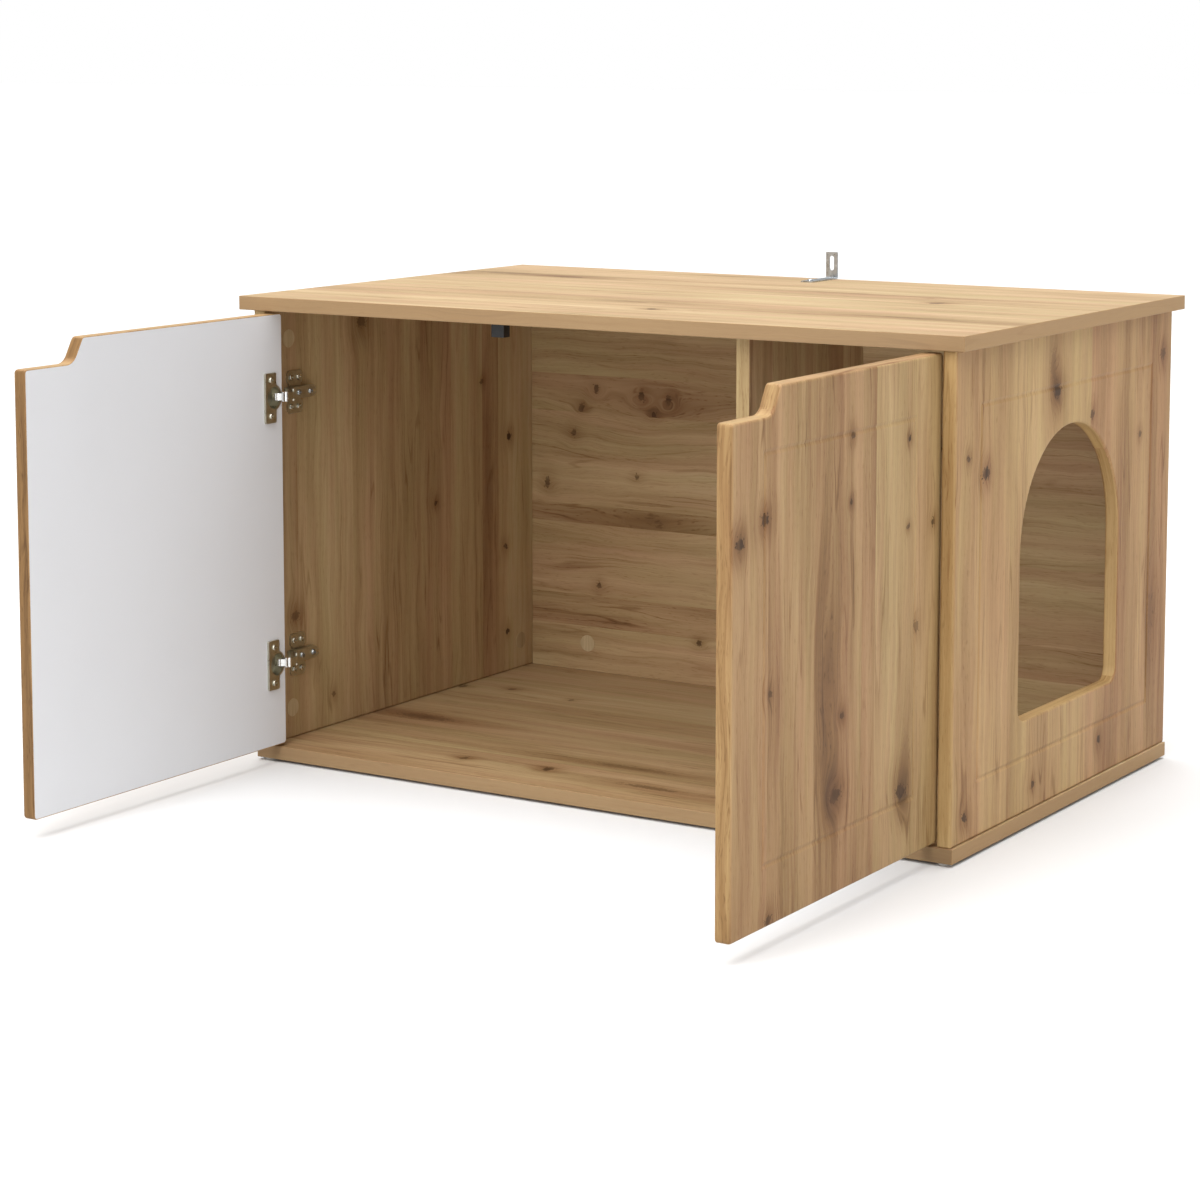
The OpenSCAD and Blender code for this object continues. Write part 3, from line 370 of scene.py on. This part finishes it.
finish_node("partition_panel", oak_foil(
    "oak_foil_partition", "ZY", seed=5, tone=0.02, tints=GREY_TINTS,
    knots=[(320, 60, 5.8, 4, 0.9, 0.9), (150, 120, 5.8, 4, 0.9, 0.8), (420, 10, 4.3, 3, 0.8, 0.8)],
    staves=[(-80, 0.0, 0.1), (-10, 0.05, -0.1), (80, -0.06, 0.1), (140, 0.02, 0.0), (200, 0.0, 0.0)]))

# Top panel
# The board that reaches past the body on all sides, its edges banded with the same foil.
finish_node("top_panel", oak_foil(
    "oak_foil_top", "XY", seed=6, tone=0.12, edge_tone=-0.27, tints=GREY_TINTS, edging=PLAIN_EDGING,
    knots=[(-366, 341, 45, 7, 0.9, 0.3), (-273, 326, 30, 6, 0.9, 0.4), (-417, 308, 16, 4, 0.7, 0.3),
           (32, 12, 7.2, 5, 0.9, 0.9), (-48, 76, 50, 6, 0.8, 0.2), (-131, 434, 40, 5, 0.8, 0.3),
           (250, 230, 8.7, 6, 0.9, 0.8), (330, 60, 60, 5, 0.7, 0.1)],
    staves=[(-90, 0.03, 0.0), (30, -0.03, 0.1), (120, 0.05, -0.1), (230, -0.02, 0.1), (300, 0.07, 0.0),
            (400, 0.07, 0.1), (480, 0.0, 0.0)]))

# Doors
# Inset boards with rounded outer edges and a hand notch; foil outside and on the edges, and a
# plain white melamine sheet inside.
def white_melamine():
    """White melamine paper: hard and closed, with a fine pearl texture that softens its sheen. The
    pearls are drawn about 1 mm across, which is coarser than they are, so that they show."""
    material = bpy.data.materials.new("white_melamine")
    material.use_nodes = True
    tree = material.node_tree
    shader = tree.nodes["Principled BSDF"]
    coords = add_node(tree, "ShaderNodeTexCoord")
    pearl = add_node(tree, "ShaderNodeTexNoise", {"Vector": coords.outputs["Object"], "Scale": 900.0,
                                                  "Detail": 2})
    cloud = add_node(tree, "ShaderNodeTexNoise", {"Vector": coords.outputs["Object"], "Scale": 9.0})
    colour = add_node(tree, "ShaderNodeMix", {"Factor": cloud, 6: linear("#E2E3E6"), 7: linear("#DEDFE2")},
                      data_type="RGBA")
    rough = add_node(tree, "ShaderNodeMapRange", {"Value": pearl, "To Min": 0.42, "To Max": 0.55})
    bump = add_node(tree, "ShaderNodeBump", {"Height": pearl, "Strength": 0.2, "Distance": 0.05 * MM})
    for key, source in (("Base Color", colour.outputs[2]), ("Roughness", rough.outputs[0]),
                        ("Normal", bump.outputs[0])):
        tree.links.new(source, shader.inputs[key])
    return material


WHITE_MELAMINE = white_melamine()
DOOR_KNOTS = {
    "right_door": [(378, -409, 7.2, 5, 1, 1), (362, -452, 7.2, 5, 1.2, 1), (374, -250, 3.6, 2.5, 0.8, 0.9),
                   (434, -248, 4.3, 3, 0.9, 0.8), (418, -136, 3.6, 2.5, 0.9, 1),
                   (335, -138, 2.9, 2, 0.7, 0.8), (234, -295, 50, 10, 0.9, 0.1),
                   (182, -266, 4.3, 3, 0.8, 0.8), (112, -280, 9, 7, 1, 0.9), (88, -148, 10.2, 7, 1.3, 1),
                   (120, -138, 30, 7, 0.9, 0.1), (226, -399, 4.3, 3, 0.7, 0.7),
                   (333, -85, 4.3, 3, 0.9, 0.9), (240, -117, 7, 3, 0.7, 0.5), (28, -401, 5.8, 4, 0.9, 0.8)],
    "left_door": [(410, -140, 7.2, 5, 1, 1), (300, -330, 8.7, 6, 1.1, 1), (120, -220, 40, 7, 0.9, 0.2),
                  (75, -420, 5.8, 4, 0.9, 0.9), (180, -95, 4.3, 3, 0.8, 0.9), (460, -300, 20, 5, 0.9, 0.4)],
}
DOOR_STAVES = {
    "right_door": [(-480, -0.02, 0.2), (-403, 0.0, 0.0), (-320, -0.02, 0.2), (-229, -0.11, 0.1),
                   (-203, 0.06, -0.3), (-60, 0.0, 0.0)],
    "left_door": [(-480, 0.03, -0.1), (-380, -0.04, 0.2), (-290, 0.04, 0.0), (-170, -0.06, 0.2),
                  (-120, 0.02, -0.1), (-60, 0.0, 0.0)],
}
for seed, (door, inwards, edge_tone) in enumerate((("left_door", 1, -0.28), ("right_door", -1, -0.19)), 7):
    foil = oak_foil("oak_foil_" + door, "ZY", seed=seed, knots=DOOR_KNOTS[door], staves=DOOR_STAVES[door],
                    edge_tone=edge_tone)
    node = finish_node(door, foil, WHITE_MELAMINE)
    for face in node.data.polygons:
        face.material_index = int(face.normal.x * inwards > 0.999)

# Cam covers, dowels, cam bolts and cam discs
# Foil stickers hide zinc-alloy cams, which pull zinc-plated bolts in the neighbouring board. Fluted
# beech dowels beside them set the boards in line. Only the stickers show once the house is built.
def worked_surface(name, light, dark, pattern, roughness, bump_depth, metallic=0.0):
    """A finish whose colour drifts between two tones over a pattern, with that pattern's relief.
    pattern is the patch along X, Y and Z in mm, and bump_depth is in mm. The grain of a plating or a
    casting is too fine to show, so it is drawn coarser than it is."""
    material = bpy.data.materials.new(name)
    material.use_nodes = True
    tree = material.node_tree
    shader = tree.nodes["Principled BSDF"]
    coords = add_node(tree, "ShaderNodeTexCoord")
    per_patch = [1 / (size * MM) for size in pattern]
    scaled = add_node(tree, "ShaderNodeVectorMath", {0: coords.outputs["Object"], 1: per_patch},
                      operation="MULTIPLY")
    fine = add_node(tree, "ShaderNodeTexNoise", {"Vector": scaled, "Scale": 1, "Detail": 3})
    wide = add_node(tree, "ShaderNodeTexNoise", {"Vector": scaled, "Scale": 0.11, "Detail": 2})
    blend = add_node(tree, "ShaderNodeMix", {"Factor": 0.5, 2: fine, 3: wide})
    share = add_node(tree, "ShaderNodeMapRange", {"Value": blend, "From Min": 0.36, "From Max": 0.64})
    colour = add_node(tree, "ShaderNodeMix", {"Factor": share, 6: linear(dark), 7: linear(light)},
                      data_type="RGBA")
    rough = add_node(tree, "ShaderNodeMapRange", {"Value": wide, "From Min": 0.3, "From Max": 0.7,
                                                  "To Min": roughness * 0.8, "To Max": roughness * 1.2})
    bump = add_node(tree, "ShaderNodeBump", {"Height": fine, "Strength": 0.4, "Distance": bump_depth * MM})
    for key, source in (("Base Color", colour.outputs[2]), ("Roughness", rough.outputs[0]),
                        ("Normal", bump.outputs[0])):
        tree.links.new(source, shader.inputs[key])
    shader.inputs["Metallic"].default_value = metallic
    return material


# Printed paper in the boards' middle tone, its grain standing up
COVER_FOIL = worked_surface("cam_cover_foil", "#C4AE88", "#A8906B", (1.6, 1.6, 30), 0.5, 0.02)
# Turned beech, pale pink with short flecks along each dowel's level grain
BEECH = worked_surface("turned_beech", "#D9B48A", "#B98D61", (1.2, 1.2, 0.7), 0.6, 0.05)
# Zinc-plated steel: a thin bright coat with a faint blue cast over drawn wire or strip
ZINC_STEEL = worked_surface("zinc_plated_steel", "#C9CDD0", "#9FA4A8", (0.7, 0.7, 0.7), 0.3, 0.01,
                            metallic=1.0)
# Die-cast zinc alloy, dull and slightly grainy as it leaves the mould
CAM_ALLOY = worked_surface("cast_zinc_alloy", "#A3A4A2", "#7D7F7E", (0.5, 0.5, 0.5), 0.48, 0.03,
                           metallic=1.0)
finish_node("cam_covers", COVER_FOIL)
finish_node("wooden_dowels", BEECH)
finish_node("cam_bolts", ZINC_STEEL)
finish_node("cam_discs", CAM_ALLOY)

# Foot glides
# Four white polyethylene glides lift the bottom panel 3 mm, each held by one zinc-plated nail whose
# head sits in the glide's recess.
POLYETHYLENE = worked_surface("white_polyethylene", "#E9E7E1", "#DCD9D1", (1.5, 1.5, 1.5), 0.5, 0.03)
finish_node("foot_glides", POLYETHYLENE)
finish_node("foot_nails", ZINC_STEEL)

# Concealed hinges
# Four 26 mm cup hinges: a pressed cup with a screwed flange in the door, a bowed link, and an arm
# clamped on a butterfly plate. Cup, arm and plate are nickel-plated, the link is polished bright.
# Nickel plating over pressed steel, with nickel's faint yellow, softly glossy
NICKEL = worked_surface("nickel_plated_steel", "#CBC7B6", "#B4B09F", (0.8, 0.8, 0.8), 0.34, 0.01,
                        metallic=1.0)
# Polished link steel, nearly white in a light room
BRIGHT_LINK = worked_surface("polished_link_steel", "#F4F4F2", "#E2E2E0", (0.4, 3.0, 0.4), 0.2, 0.004,
                             metallic=1.0)
for side in ("left", "right"):
    for level in ("upper", "lower"):
        hinge = side + "_" + level + "_"
        finish_node(hinge + "hinge_cup", NICKEL)
        finish_node(hinge + "hinge_arm", NICKEL)
        finish_node(hinge + "mounting_plate", NICKEL)
        finish_node(hinge + "hinge_link", BRIGHT_LINK)
finish_node("hinge_pivot_pins", BRIGHT_LINK)


def solids(name):
    """The lowest and highest corner of each separate solid in a CAD node, in metres."""
    shell = bmesh.new()
    shell.from_mesh(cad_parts[name].data)
    bmesh.ops.remove_doubles(shell, verts=shell.verts, dist=0.001 * MM)
    found, seen = [], set()
    for start in shell.verts:
        if start in seen:
            continue
        seen.add(start)
        group, queue = [], [start]
        while queue:
            vertex = queue.pop()
            group.append(vertex.co.copy())
            for edge in vertex.link_edges:
                other = edge.other_vert(vertex)
                if other not in seen:
                    seen.add(other)
                    queue.append(other)
        found.append([Vector([pick(corner[i] for corner in group) for i in range(3)]) for pick in (min, max)])
    shell.free()
    return found


# The link's web ends in a hood round the pivot: its two radii, its half width from one end to the
# other, and the angle round the pivot at which it starts and that it spans
HOOD_INNER = 2.1 * MM
HOOD_OUTER = 2.9 * MM
HOOD_HALF_WIDTHS = [5.0 * MM] + [5.2 * MM] * 8 + [4.9 * MM, 4.2 * MM]
HOOD_START = math.radians(218)
HOOD_SWEEP = math.radians(158)


def link_hoods(side, handed):
    """The hoods of one side's two links, as curved strips round their pivots. handed mirrors them in X."""
    shell = bmesh.new()
    for low, high in solids("hinge_pivot_pins"):
        pivot = (low + high) / 2
        if pivot.x * handed > 0:
            continue
        rings = []
        for i, half in enumerate(HOOD_HALF_WIDTHS):
            angle = HOOD_START + HOOD_SWEEP * i / (len(HOOD_HALF_WIDTHS) - 1)
            out = Vector((math.cos(angle) * handed, math.sin(angle), 0))
            rings.append([shell.verts.new(pivot + out * radius + Vector((0, 0, z)))
                          for radius, z in ((HOOD_INNER, -half), (HOOD_OUTER, -half), (HOOD_OUTER, half),
                                            (HOOD_INNER, half))])
        for one, two in zip(rings, rings[1:]):
            for k in range(4):
                shell.faces.new((one[k], one[(k + 1) % 4], two[(k + 1) % 4], two[k]))
        shell.faces.new(rings[0])
        shell.faces.new(rings[-1])
    bmesh.ops.recalc_face_normals(shell, faces=shell.faces)
    mesh = bpy.data.meshes.new(side + "_link_hoods")
    shell.to_mesh(mesh)
    shell.free()
    mesh.shade_smooth()
    mesh.set_sharp_from_angle(angle=math.radians(35))
    mesh.materials.append(BRIGHT_LINK)
    piece = bpy.data.objects.new(side + "_link_hoods", mesh)
    bpy.context.scene.collection.objects.link(piece)
    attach(piece, side + "_hinge_links")


link_hoods("left", 1)
link_hoods("right", -1)

# Screws
# Pan-head screws with a cross recess, rolled from zinc-plated or nickel-plated wire. The CAD
# holds plain ones, so these take their places, with a real head, thread and point.
HEAD_HEIGHT = 2.0 * MM
SCREW_SIZES = {"Head radius": 3.4 * MM, "Head height": HEAD_HEIGHT, "Shank radius": 1.6 * MM,
               "Thread pitch": 1.2 * MM}
# The recess's bars in head radii and head heights, and how much higher the second one is cut
BAR_LENGTH, BAR_WIDTH, BAR_HEIGHT = 1.15, 0.26, 1.3
SECOND_BAR = 1.04
# How flat the pan's dome is on top, and the thread's core, its ridge and the tip in shank radii
DOME_POWER = 2.4
CORE_SHARE, RIDGE_SHARE, TIP_SHARE = 0.78, 0.2, 2.0
TIP_OVERLAP = 1.03


def screw_tree():
    """Screws on the points of a mesh, each turned by the point's own angles: a domed head with a
    cross recess on the point, and a threaded shank with a tip below it."""
    tree = bpy.data.node_groups.new("cross_head_screw", "GeometryNodeTree")
    tree.interface.new_socket("Seats", in_out="INPUT", socket_type="NodeSocketGeometry")
    for label in ("Head radius", "Head height", "Shank radius", "Thread pitch", "Length"):
        tree.interface.new_socket(label, in_out="INPUT", socket_type="NodeSocketFloat")
    tree.interface.new_socket("Steel", in_out="INPUT", socket_type="NodeSocketMaterial")
    tree.interface.new_socket("Screws", in_out="OUTPUT", socket_type="NodeSocketGeometry")
    port = tree.nodes.new("NodeGroupInput").outputs
    result = tree.nodes.new("NodeGroupOutput")
    # Head: a ball whose lower half is pressed flat and whose upper half is a low pan
    ball = add_node(tree, "GeometryNodeMeshUVSphere", {"Segments": 28, "Rings": 16,
                                                       "Radius": port["Head radius"]})
    spot = add_node(tree, "ShaderNodeSeparateXYZ", {0: add_node(tree, "GeometryNodeInputPosition")}).outputs
    above = add_node(tree, "ShaderNodeMath", {0: spot["Z"], 1: 0.0}, operation="MAXIMUM")
    rise = add_node(tree, "ShaderNodeMath", {0: above, 1: port["Head radius"]}, operation="DIVIDE")
    left = add_node(tree, "ShaderNodeMath", {0: 1.0, 1: rise}, operation="SUBTRACT")
    drop = add_node(tree, "ShaderNodeMath", {0: left, 1: DOME_POWER}, operation="POWER")
    share = add_node(tree, "ShaderNodeMath", {0: 1.0, 1: drop}, operation="SUBTRACT")
    height = add_node(tree, "ShaderNodeMath", {0: share, 1: port["Head height"]}, operation="MULTIPLY")
    pressed = add_node(tree, "ShaderNodeCombineXYZ", {0: spot["X"], 1: spot["Y"], 2: height})
    head = add_node(tree, "GeometryNodeSetPosition", {"Geometry": ball, "Position": pressed})
    # Recess: two crossed bars cut out of the head
    bar_length = add_node(tree, "ShaderNodeMath", {0: port["Head radius"], 1: BAR_LENGTH},
                          operation="MULTIPLY")
    bar_width = add_node(tree, "ShaderNodeMath", {0: port["Head radius"], 1: BAR_WIDTH},
                         operation="MULTIPLY")
    bar_height = add_node(tree, "ShaderNodeMath", {0: port["Head height"], 1: BAR_HEIGHT},
                          operation="MULTIPLY")
    bar_size = add_node(tree, "ShaderNodeCombineXYZ", {0: bar_length, 1: bar_width, 2: bar_height})
    bar = add_node(tree, "GeometryNodeMeshCube", {"Size": bar_size})
    raised = add_node(tree, "ShaderNodeCombineXYZ", {2: port["Head height"]})
    first = add_node(tree, "GeometryNodeTransform", {"Geometry": bar, "Translation": raised})
    # The second bar ends a little higher, because a cut needs floors that don't lie in one plane
    second = add_node(tree, "GeometryNodeTransform", {"Geometry": first, "Rotation": (0, 0, math.radians(90)),
                                                      "Scale": (1, 1, SECOND_BAR)})
    cut = add_node(tree, "GeometryNodeMeshBoolean", {0: head, 1: first}, operation="DIFFERENCE")
    crossed = add_node(tree, "GeometryNodeMeshBoolean", {0: cut, 1: second}, operation="DIFFERENCE")
    # Shank, tip and thread
    core = add_node(tree, "ShaderNodeMath", {0: port["Shank radius"], 1: CORE_SHARE}, operation="MULTIPLY")
    tip = add_node(tree, "ShaderNodeMath", {0: port["Shank radius"], 1: TIP_SHARE}, operation="MULTIPLY")
    straight = add_node(tree, "ShaderNodeMath", {0: port["Length"], 1: tip}, operation="SUBTRACT")
    shank = add_node(tree, "GeometryNodeMeshCylinder", {"Vertices": 16, "Radius": core, "Depth": straight})
    half_down = add_node(tree, "ShaderNodeMath", {0: straight, 1: -0.5}, operation="MULTIPLY")
    shank_place = add_node(tree, "ShaderNodeCombineXYZ", {2: half_down})
    shank_set = add_node(tree, "GeometryNodeTransform", {"Geometry": shank.outputs["Mesh"],
                                                         "Translation": shank_place})
    bottom = add_node(tree, "ShaderNodeMath", {0: port["Length"], 1: -1.0}, operation="MULTIPLY")
    bottom_place = add_node(tree, "ShaderNodeCombineXYZ", {2: bottom})
    # The tip reaches a little way into the shank, so that the two closed shells share no corner
    tip_length = add_node(tree, "ShaderNodeMath", {0: tip, 1: TIP_OVERLAP}, operation="MULTIPLY")
    point = add_node(tree, "GeometryNodeMeshCone", {"Vertices": 16, "Radius Top": core, "Radius Bottom": 0.0,
                                                    "Depth": tip_length})
    point_set = add_node(tree, "GeometryNodeTransform", {"Geometry": point.outputs["Mesh"],
                                                         "Translation": bottom_place})
    turns = add_node(tree, "ShaderNodeMath", {0: straight, 1: port["Thread pitch"]}, operation="DIVIDE")
    spiral = add_node(tree, "GeometryNodeCurveSpiral",
                      {"Resolution": 12, "Rotations": turns, "Start Radius": core, "End Radius": core,
                       "Height": straight})
    ridge_radius = add_node(tree, "ShaderNodeMath", {0: port["Shank radius"], 1: RIDGE_SHARE},
                            operation="MULTIPLY")
    ridge = add_node(tree, "GeometryNodeCurvePrimitiveCircle", {"Resolution": 3, "Radius": ridge_radius})
    thread = add_node(tree, "GeometryNodeCurveToMesh", {"Curve": spiral, "Profile Curve": ridge,
                                                        "Fill Caps": True})
    down = add_node(tree, "ShaderNodeMath", {0: straight, 1: -1.0}, operation="MULTIPLY")
    thread_place = add_node(tree, "ShaderNodeCombineXYZ", {2: down})
    thread_set = add_node(tree, "GeometryNodeTransform", {"Geometry": thread, "Translation": thread_place})
    screw = add_node(tree, "GeometryNodeJoinGeometry")
    for part in (crossed, shank_set, point_set, thread_set):
        tree.links.new(part.outputs[0], screw.inputs[0])
    # One on each seat
    turn = add_node(tree, "GeometryNodeInputNamedAttribute", {"Name": "turn"}, data_type="FLOAT_VECTOR")
    rotation = add_node(tree, "FunctionNodeEulerToRotation", {0: turn})
    points = add_node(tree, "GeometryNodeMeshToPoints", {"Mesh": port["Seats"]})
    placed = add_node(tree, "GeometryNodeInstanceOnPoints", {"Points": points, "Instance": screw,
                                                             "Rotation": rotation})
    whole = add_node(tree, "GeometryNodeRealizeInstances", {0: placed})
    finished = add_node(tree, "GeometryNodeSetMaterial", {"Geometry": whole, "Material": port["Steel"]})
    tree.links.new(finished.outputs[0], result.inputs[0])
    return tree


def grown(name, tree, places, turns, settings):
    """A mesh that a node tree grows on some points, turned as each point says, as a piece of its own."""
    seats = bpy.data.meshes.new(name + "_seats")
    seats.from_pydata([tuple(place) for place in places], [], [])
    angles = seats.attributes.new("turn", "FLOAT_VECTOR", "POINT")
    for item, turn in zip(angles.data, turns):
        item.vector = turn
    piece = bpy.data.objects.new(name, seats)
    bpy.context.scene.collection.objects.link(piece)
    modifier = piece.modifiers.new("grown", "NODES")
    modifier.node_group = tree
    for socket in tree.interface.items_tree:
        if socket.in_out == "INPUT" and socket.name in settings:
            modifier[socket.identifier] = settings[socket.name]
    graph = bpy.context.evaluated_depsgraph_get()
    mesh = bpy.data.meshes.new_from_object(piece.evaluated_get(graph), depsgraph=graph)
    piece.modifiers.remove(modifier)
    piece.data = mesh
    shell = bmesh.new()
    shell.from_mesh(mesh)
    bmesh.ops.remove_doubles(shell, verts=shell.verts, dist=0.0005 * MM)
    bmesh.ops.recalc_face_normals(shell, faces=shell.faces)
    shell.to_mesh(mesh)
    shell.free()
    mesh.shade_smooth()
    mesh.set_sharp_from_angle(angle=math.radians(38))
    return piece


CROSS_HEAD_SCREW = screw_tree()
# Nickel plating again, on wire, a little brighter than on the plates
NICKEL_WIRE = worked_surface("nickel_plated_wire", "#D8D5C8", "#BDBAAD", (0.5, 0.5, 0.5), 0.26, 0.006,
                             metallic=1.0)
SCREW_ROWS = (
    ("left_cup_screws", "left_door", NICKEL_WIRE, "nickel_plated_steel", (1, 0, 0)),
    ("right_cup_screws", "right_door", NICKEL_WIRE, "nickel_plated_steel", (-1, 0, 0)),
    ("mounting_plate_screws", "carcass", NICKEL_WIRE, "nickel_plated_steel", None),
    ("hinge_arm_screws", "carcass", ZINC_STEEL, "zinc_plated_steel", None),
    ("door_stop_screw", "carcass", ZINC_STEEL, "zinc_plated_steel", (0, 0, -1)),
    ("wall_bracket_screw", "carcass", ZINC_STEEL, "zinc_plated_steel", (0, 0, 1)),
)
for node_name, body, steel, slot, outwards in SCREW_ROWS:
    places, turns = [], []
    for low, high in solids(node_name):
        middle = (low + high) / 2
        # A screw with no direction of its own points into the house from the side it is in
        out = Vector(outwards or (-math.copysign(1, middle.x), 0, 0))
        overall = abs((high - low).dot(out))
        places.append(middle + out * (overall / 2 - HEAD_HEIGHT))
        turns.append(Vector((0, 0, 1)).rotation_difference(out).to_euler())
    screws = grown("cross_" + node_name, CROSS_HEAD_SCREW, places, turns,
                   {**SCREW_SIZES, "Length": overall - HEAD_HEIGHT, "Steel": steel})
    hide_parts(node_name)
    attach(screws, body)

# Door stop
# A small black plastic block under the top panel, which the left door's inner face comes to rest on.
BLACK_PLASTIC = worked_surface("black_moulded_plastic", "#1D1D1D", "#121212", (0.5, 0.5, 0.5), 0.5, 0.03)
finish_node("door_stop", BLACK_PLASTIC)

# Wall bracket
# A bent strip of zinc-plated steel on the top's rear edge, slotted for the screw that ties the house
# to a wall.
finish_node("wall_bracket", ZINC_STEEL)

# Studio
# A pale floor under a white sky that is brightest overhead, as in a tent of paper, with two soft
# lamps in front that reach into the house. The camera sees plain white behind it all.
CAMERA_PLACE = (1.6522, -2.6562, 0.7818)
CAMERA_PITCH = math.radians(-6.606)
CAMERA_TURN = math.radians(32.235)
CAMERA_LENS, SENSOR_WIDTH = 91.79, 36.0
CAMERA_SHIFT = -0.17
# Half the floor's side in metres, and the grey that it sends back and that the camera sees
FLOOR_HALF = 40.0
FLOOR_GREY, FLOOR_SEEN = 0.62, 0.76
# The tent's light level round the sides, what is added overhead, and how fast that falls off
TENT_SIDES, TENT_TOP, TENT_FALL = 0.44, 3.6, 4.0
LAMP_SIZE = 1.6
LAMP_AIM = Vector((0, 0, 0.25))
# Each lamp's name, place in metres and power in watts
LAMPS = (("low_soft_lamp", (0, -3.0, 0.9), 23), ("high_soft_lamp", (0, -2.4, 2.2), 37))

floor_mesh = bpy.data.meshes.new("studio_floor")
floor_corners = [(FLOOR_HALF * x, FLOOR_HALF * y, 0) for x, y in ((-1, -1), (1, -1), (1, 1), (-1, 1))]
floor_mesh.from_pydata(floor_corners, [], [(0, 1, 2, 3)])
floor = bpy.data.objects.new("studio_floor", floor_mesh)
bpy.context.scene.collection.objects.link(floor)
floor_paint = bpy.data.materials.new("matt_floor_paint")
floor_paint.use_nodes = True
floor_shader = floor_paint.node_tree.nodes["Principled BSDF"]
# Seen directly, the floor is a little paler than the light it sends back, as in an overexposed studio
floor_seen = add_node(floor_paint.node_tree, "ShaderNodeLightPath").outputs["Is Camera Ray"]
floor_tone = add_node(floor_paint.node_tree, "ShaderNodeMix",
                      {"Factor": floor_seen, 6: [FLOOR_GREY] * 3 + [1], 7: [FLOOR_SEEN] * 3 + [1]},
                      data_type="RGBA")
floor_paint.node_tree.links.new(floor_tone.outputs[2], floor_shader.inputs["Base Color"])
floor_shader.inputs["Roughness"].default_value = 1.0
floor_shader.inputs["Specular IOR Level"].default_value = 0.0
floor_mesh.materials.append(floor_paint)

world = bpy.data.worlds.new("paper_tent")
world.use_nodes = True
sky = world.node_tree
tent = sky.nodes["Background"]
tent.inputs["Color"].default_value = (1, 1, 1, 1)
direction = add_node(sky, "ShaderNodeTexCoord")
upward = add_node(sky, "ShaderNodeSeparateXYZ", {0: direction.outputs["Generated"]})
lifted = add_node(sky, "ShaderNodeMath", {0: upward.outputs["Z"], 1: 0.0}, operation="MAXIMUM")
towards_top = add_node(sky, "ShaderNodeMath", {0: lifted, 1: TENT_FALL}, operation="POWER")
glow = add_node(sky, "ShaderNodeMath", {0: towards_top, 1: TENT_TOP, 2: TENT_SIDES}, operation="MULTIPLY_ADD")
seen = add_node(sky, "ShaderNodeLightPath")
strength = add_node(sky, "ShaderNodeMix", {"Factor": seen.outputs["Is Camera Ray"], 2: glow, 3: 1.0})
sky.links.new(strength.outputs[0], tent.inputs["Strength"])
bpy.context.scene.world = world

for lamp_name, lamp_place, watts in LAMPS:
    lamp = bpy.data.lights.new(lamp_name, "AREA")
    lamp.shape = "SQUARE"
    lamp.size = LAMP_SIZE
    lamp.energy = watts
    lamp_object = bpy.data.objects.new(lamp_name, lamp)
    bpy.context.scene.collection.objects.link(lamp_object)
    lamp_object.location = lamp_place
    lamp_object.rotation_euler = (LAMP_AIM - lamp_object.location).to_track_quat("-Z", "Y").to_euler()

camera = bpy.data.cameras.new("camera")
camera.lens = CAMERA_LENS
camera.sensor_width = SENSOR_WIDTH
camera.shift_y = CAMERA_SHIFT
camera_object = bpy.data.objects.new("camera", camera)
bpy.context.scene.collection.objects.link(camera_object)
camera_object.location = CAMERA_PLACE
camera_object.rotation_euler = (math.radians(90) + CAMERA_PITCH, 0, CAMERA_TURN)
bpy.context.scene.camera = camera_object
bpy.context.scene.view_settings.view_transform = "Standard"
